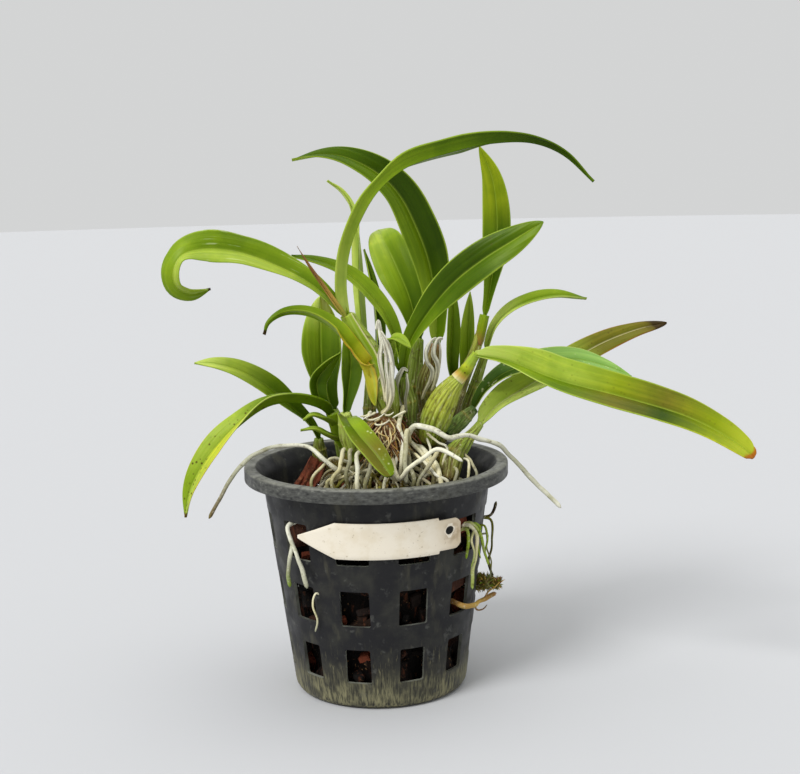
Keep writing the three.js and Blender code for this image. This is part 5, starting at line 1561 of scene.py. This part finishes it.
class ORCHID_OT_sheaths(bpy.types.Operator):
    """Adds the dry bract and the papery sheaths, split into cords"""

    bl_idname = "orchid.sheaths"
    bl_label = "Sheaths"

    def execute(self, context):
        material = dry_paper()
        for index, (name, sheath) in enumerate(SHEATHS.items()):
            if isinstance(sheath, dict):
                shape = Shape(*LEAF_FIELDS)
                blade(shape, sheath, 0.7, 0.35, 60, 0.12, index)
                shape.piece("papery_" + name, material, "dry_bract", name)
                continue
            shape = Shape()
            for i, (radius, path) in enumerate(sheath):
                tints = "chalk grey grey" if name == "sheath_grey" else "chalk chalk cream"
                radii = (radius * 0.6, radius, radius * 1.1, radius, radius * 0.7)
                strand(shape, path, radii, tints, 21, 0.6, 0.35, index * 5 + i, pleat=0.16)
            shape.piece("papery_" + name, material, "papery_sheath", name)
        return {"FINISHED"}


def crown_line(path):
    """A path of the rhizome, lowered to the crown that the roots grow from."""
    return [(x, y, z - CROWN_DROP) for x, y, z in path]


class ORCHID_OT_roots(bpy.types.Operator):
    """Grows the roots under the crown and the ones that leave over the rim"""

    bl_idname = "orchid.roots"
    bl_label = "Roots"

    def execute(self, context):
        s = context.scene.orchid_roots
        wander = s.wander / MM
        shape = Shape()
        crown = Course(crown_line(RHIZOME[0][1]))
        strand(shape, crown_line(RHIZOME[0][1]), CROWN_RADIUS, "brown olive", 14, 1.5, 0.3, 1)
        ends = ("chalk chalk chalk grey chalk", "cream chalk chalk grey brown",
                "cream chalk", "cream grey", "chalk cream")
        for i, (radius, path) in enumerate(FEATURE_ROOTS):
            strand(shape, path, radius, ends[i], 14, 1.0, 0.45, 40 + i)
        for i, (radius, path) in enumerate(FRONT_ROOTS):
            x, y, z = path[-1]
            dive = ((x * 0.93, y * 0.96, z - 9),)
            tints = ("cream chalk cream", "chalk cream olive", "cream grey olive")[i % 3]
            strand(shape, path + dive, (radius * 0.9, radius, radius * 0.9), tints,
                   12, 1.0, 0.6, 70 + i, 0.12 * (i % 3))
        random = seeded(ROOT_SKIRT["seed"])
        near, far = ROOT_SKIRT["reach"]
        thin, thick = ROOT_SKIRT["radius"]
        skirt = ("cream grey olive", "chalk cream", "grey olive brown", "cream chalk olive", "cream cream")
        for i in range(ROOT_SKIRT["count"] + s.fine_roots):
            fine = i >= ROOT_SKIRT["count"]
            start = crown.at(0.15 + 0.78 * ((i * 0.618) % 1))
            azimuth = -math.pi / 2 + (2 if i % 4 else 5.6) * (random() - 0.5)
            reach = near + (far - near) * random()
            bow = 8 * (random() - 0.5)
            path = [tuple(start)]
            for share in (0.3, 0.65, 1):
                bend = bow * math.sin(3 * share)
                x = start[0] + reach * share * math.cos(azimuth) - bend * math.sin(azimuth)
                y = start[1] + reach * share * math.sin(azimuth) + bend * math.cos(azimuth)
                inside = min(1, ROOT_SKIRT["inner"] / math.hypot(x, y))
                x, y = x * inside, y * inside
                lift = ROOT_SKIRT["lift"] + 3 * random() if share < 1 else -1
                path.append((x, y, mound_surface(x, y) + lift))
            radius = 0.85 * (thin + (thick - thin) * random())
            if fine:
                radius *= 0.45 + 0.35 * ((i * 0.37) % 1)
            strand(shape, path, (radius, radius * 1.05, radius * 0.9), skirt[i % 5],
                   8 if fine else 12, 1.6, wander, i, (i * 0.29) % 1 * 0.6)
        shape.piece("velamen_roots", velamen(), "root", "roots")
        return {"FINISHED"}


class ORCHID_OT_window_roots(bpy.types.Operator):
    """Hangs the roots that have grown out through the windows, and lays the twig"""

    bl_idname = "orchid.window_roots"
    bl_label = "Window roots"

    def execute(self, context):
        material = velamen()
        for name, strands in WINDOW_ROOTS.items():
            shape = Shape()
            for i, (radius, path, tints) in enumerate(strands):
                strand(shape, path, radius, tints, 14, 0.8, 0.5, 60 + i)
            slot = "twig" if name == "twig" else "root"
            shape.piece("hanging_" + name, material, slot, name)
        return {"FINISHED"}


class ORCHID_OT_moss(bpy.types.Operator):
    """Tufts the moss in the right window"""

    bl_idname = "orchid.moss"
    bl_label = "Moss"

    def execute(self, context):
        random = seeded(MOSS_SEED)
        shape = Shape()
        tufts = ("olive", "fresh", "bark", "straw", "olive", "brown")
        for x, y, z, r in MOSS_LUMPS:
            bm = bmesh.new()
            bmesh.ops.create_icosphere(bm, subdivisions=3, radius=r * 0.7)
            for v in bm.verts:
                v.co *= 1 + 0.3 * noise.noise(v.co * 0.6 + Vector((x, y, z)))
            # The lump under the tufts is the olive darkened to seven tenths: painted shade under the tufts.
            shape.add([(v.co.x + x, v.co.y + y, v.co.z + z) for v in bm.verts],
                      [tuple(v.index for v in f.verts) for f in bm.faces], tint=tinted("olive", 0) * 0.7)
            bm.free()
            for i in range(int(r * 60)):
                out = Vector((random() - 0.5, random() - 0.5, random() - 0.5)).normalized()
                bend = Vector((random() - 0.5, random() - 0.5, random() * 0.6)) * 1.2
                foot = Vector((x, y, z)) + out * r * 0.6
                tip = Vector((x, y, z)) + out * r * (0.9 + 0.45 * random()) + 2 * bend
                path = [tuple(foot), tuple((foot + tip) / 2 + bend * 0.4), tuple(tip)]
                strand(shape, path, (0.38, 0.3, 0.12), tufts[i % 6], 4, 0.5, 0, i)
        shape.piece("moss_tuft", velamen(), "moss", "moss_clump")
        return {"FINISHED"}


class ORCHID_OT_stage(bpy.types.Operator):
    """Sets the pale floor, the soft lights and the camera"""

    bl_idname = "orchid.stage"
    bl_label = "Stage"

    def execute(self, context):
        s = context.scene.orchid_stage
        scene = context.scene
        bpy.ops.mesh.primitive_circle_add(
            vertices=96, radius=FLOOR_RADIUS, fill_type="NGON", location=(0, 0, -FLOOR_DROP))
        floor = context.active_object
        floor.name = "pale_floor"
        material, tree, _, _ = begin("matt_studio_floor")
        shader = add(tree, "BsdfPrincipled", {"Base Color": (*s.floor, 1), "Roughness": 0.9})
        add(tree, "OutputMaterial", {"Surface": shader})
        floor.data.materials.append(material)

        world = bpy.data.worlds.new("soft_daylight")
        world.use_nodes = True
        world.node_tree.nodes["Background"].inputs[0].default_value = (*s.surroundings, 1)
        world.node_tree.nodes["Background"].inputs[1].default_value = DAYLIGHT
        scene.world = world
        for name, (place, softness, strength) in LIGHTS.items():
            lamp = bpy.data.lights.new(name, "SUN")
            lamp.angle, lamp.energy = math.radians(softness), strength
            light = bpy.data.objects.new(name, lamp)
            light.location = place
            aim = Vector(LIT_POINT) - Vector(place)
            light.rotation_euler = aim.to_track_quat("-Z", "Y").to_euler()
            scene.collection.objects.link(light)

        pitch, roll = math.radians(CAMERA["pitch"]), math.radians(CAMERA["roll"])
        right, up = Vector((1, 0, 0)), Vector((0, math.sin(pitch), math.cos(pitch)))
        ahead = Vector((0, math.cos(pitch), -math.sin(pitch)))
        turned_right = math.cos(roll) * right - math.sin(roll) * up
        turned_up = math.sin(roll) * right + math.cos(roll) * up
        lens = bpy.data.cameras.new("photo_camera")
        lens.sensor_width, lens.lens, lens.clip_start = 36, CAMERA["lens"], 0.01
        camera = bpy.data.objects.new("photo_camera", lens)
        axes = Matrix((turned_right, turned_up, -ahead)).transposed().to_4x4()
        camera.matrix_world = Matrix.Translation(CAMERA["place"]) @ axes
        scene.collection.objects.link(camera)
        scene.camera = camera
        scene.view_settings.view_transform = "Standard"
        return {"FINISHED"}


SETTINGS = {
    "orchid_pot": PotSettings, "orchid_label": LabelSettings, "orchid_leaves": LeafSettings,
    "orchid_bulbs": BulbSettings, "orchid_roots": RootSettings, "orchid_mix": MixSettings,
    "orchid_tints": PlantTints, "orchid_stage": StageSettings,
}
OPERATORS = (
    ORCHID_OT_stage, ORCHID_OT_pot, ORCHID_OT_label, ORCHID_OT_potting_mix, ORCHID_OT_bark, ORCHID_OT_rhizome,
    ORCHID_OT_pseudobulbs, ORCHID_OT_leaves, ORCHID_OT_sheaths, ORCHID_OT_roots, ORCHID_OT_window_roots,
    ORCHID_OT_moss,
)


class ORCHID_PT_panel(bpy.types.Panel):
    """Lists the orchid's pieces and their settings"""

    bl_idname = "ORCHID_PT_panel"
    bl_label = "Potted cattleya orchid"
    bl_space_type = "VIEW_3D"
    bl_region_type = "UI"
    bl_category = "Orchid"

    def draw(self, context):
        for operator in OPERATORS:
            self.layout.operator(operator.bl_idname)
        for name, group in SETTINGS.items():
            box = self.layout.box()
            for setting in group.__annotations__:
                box.prop(getattr(context.scene, name), setting)


def register():
    for group in SETTINGS.values():
        bpy.utils.register_class(group)
    for name, group in SETTINGS.items():
        setattr(bpy.types.Scene, name, bpy.props.PointerProperty(type=group))
    for operator in OPERATORS:
        bpy.utils.register_class(operator)
    bpy.utils.register_class(ORCHID_PT_panel)


def unregister():
    bpy.utils.unregister_class(ORCHID_PT_panel)
    for operator in reversed(OPERATORS):
        bpy.utils.unregister_class(operator)
    for name in SETTINGS:
        delattr(bpy.types.Scene, name)
    for group in reversed(list(SETTINGS.values())):
        bpy.utils.unregister_class(group)


def main():
    register()
    for operator in OPERATORS:
        group, name = operator.bl_idname.split(".")
        getattr(getattr(bpy.ops, group), name)()


if __name__ == "__main__":
    main()
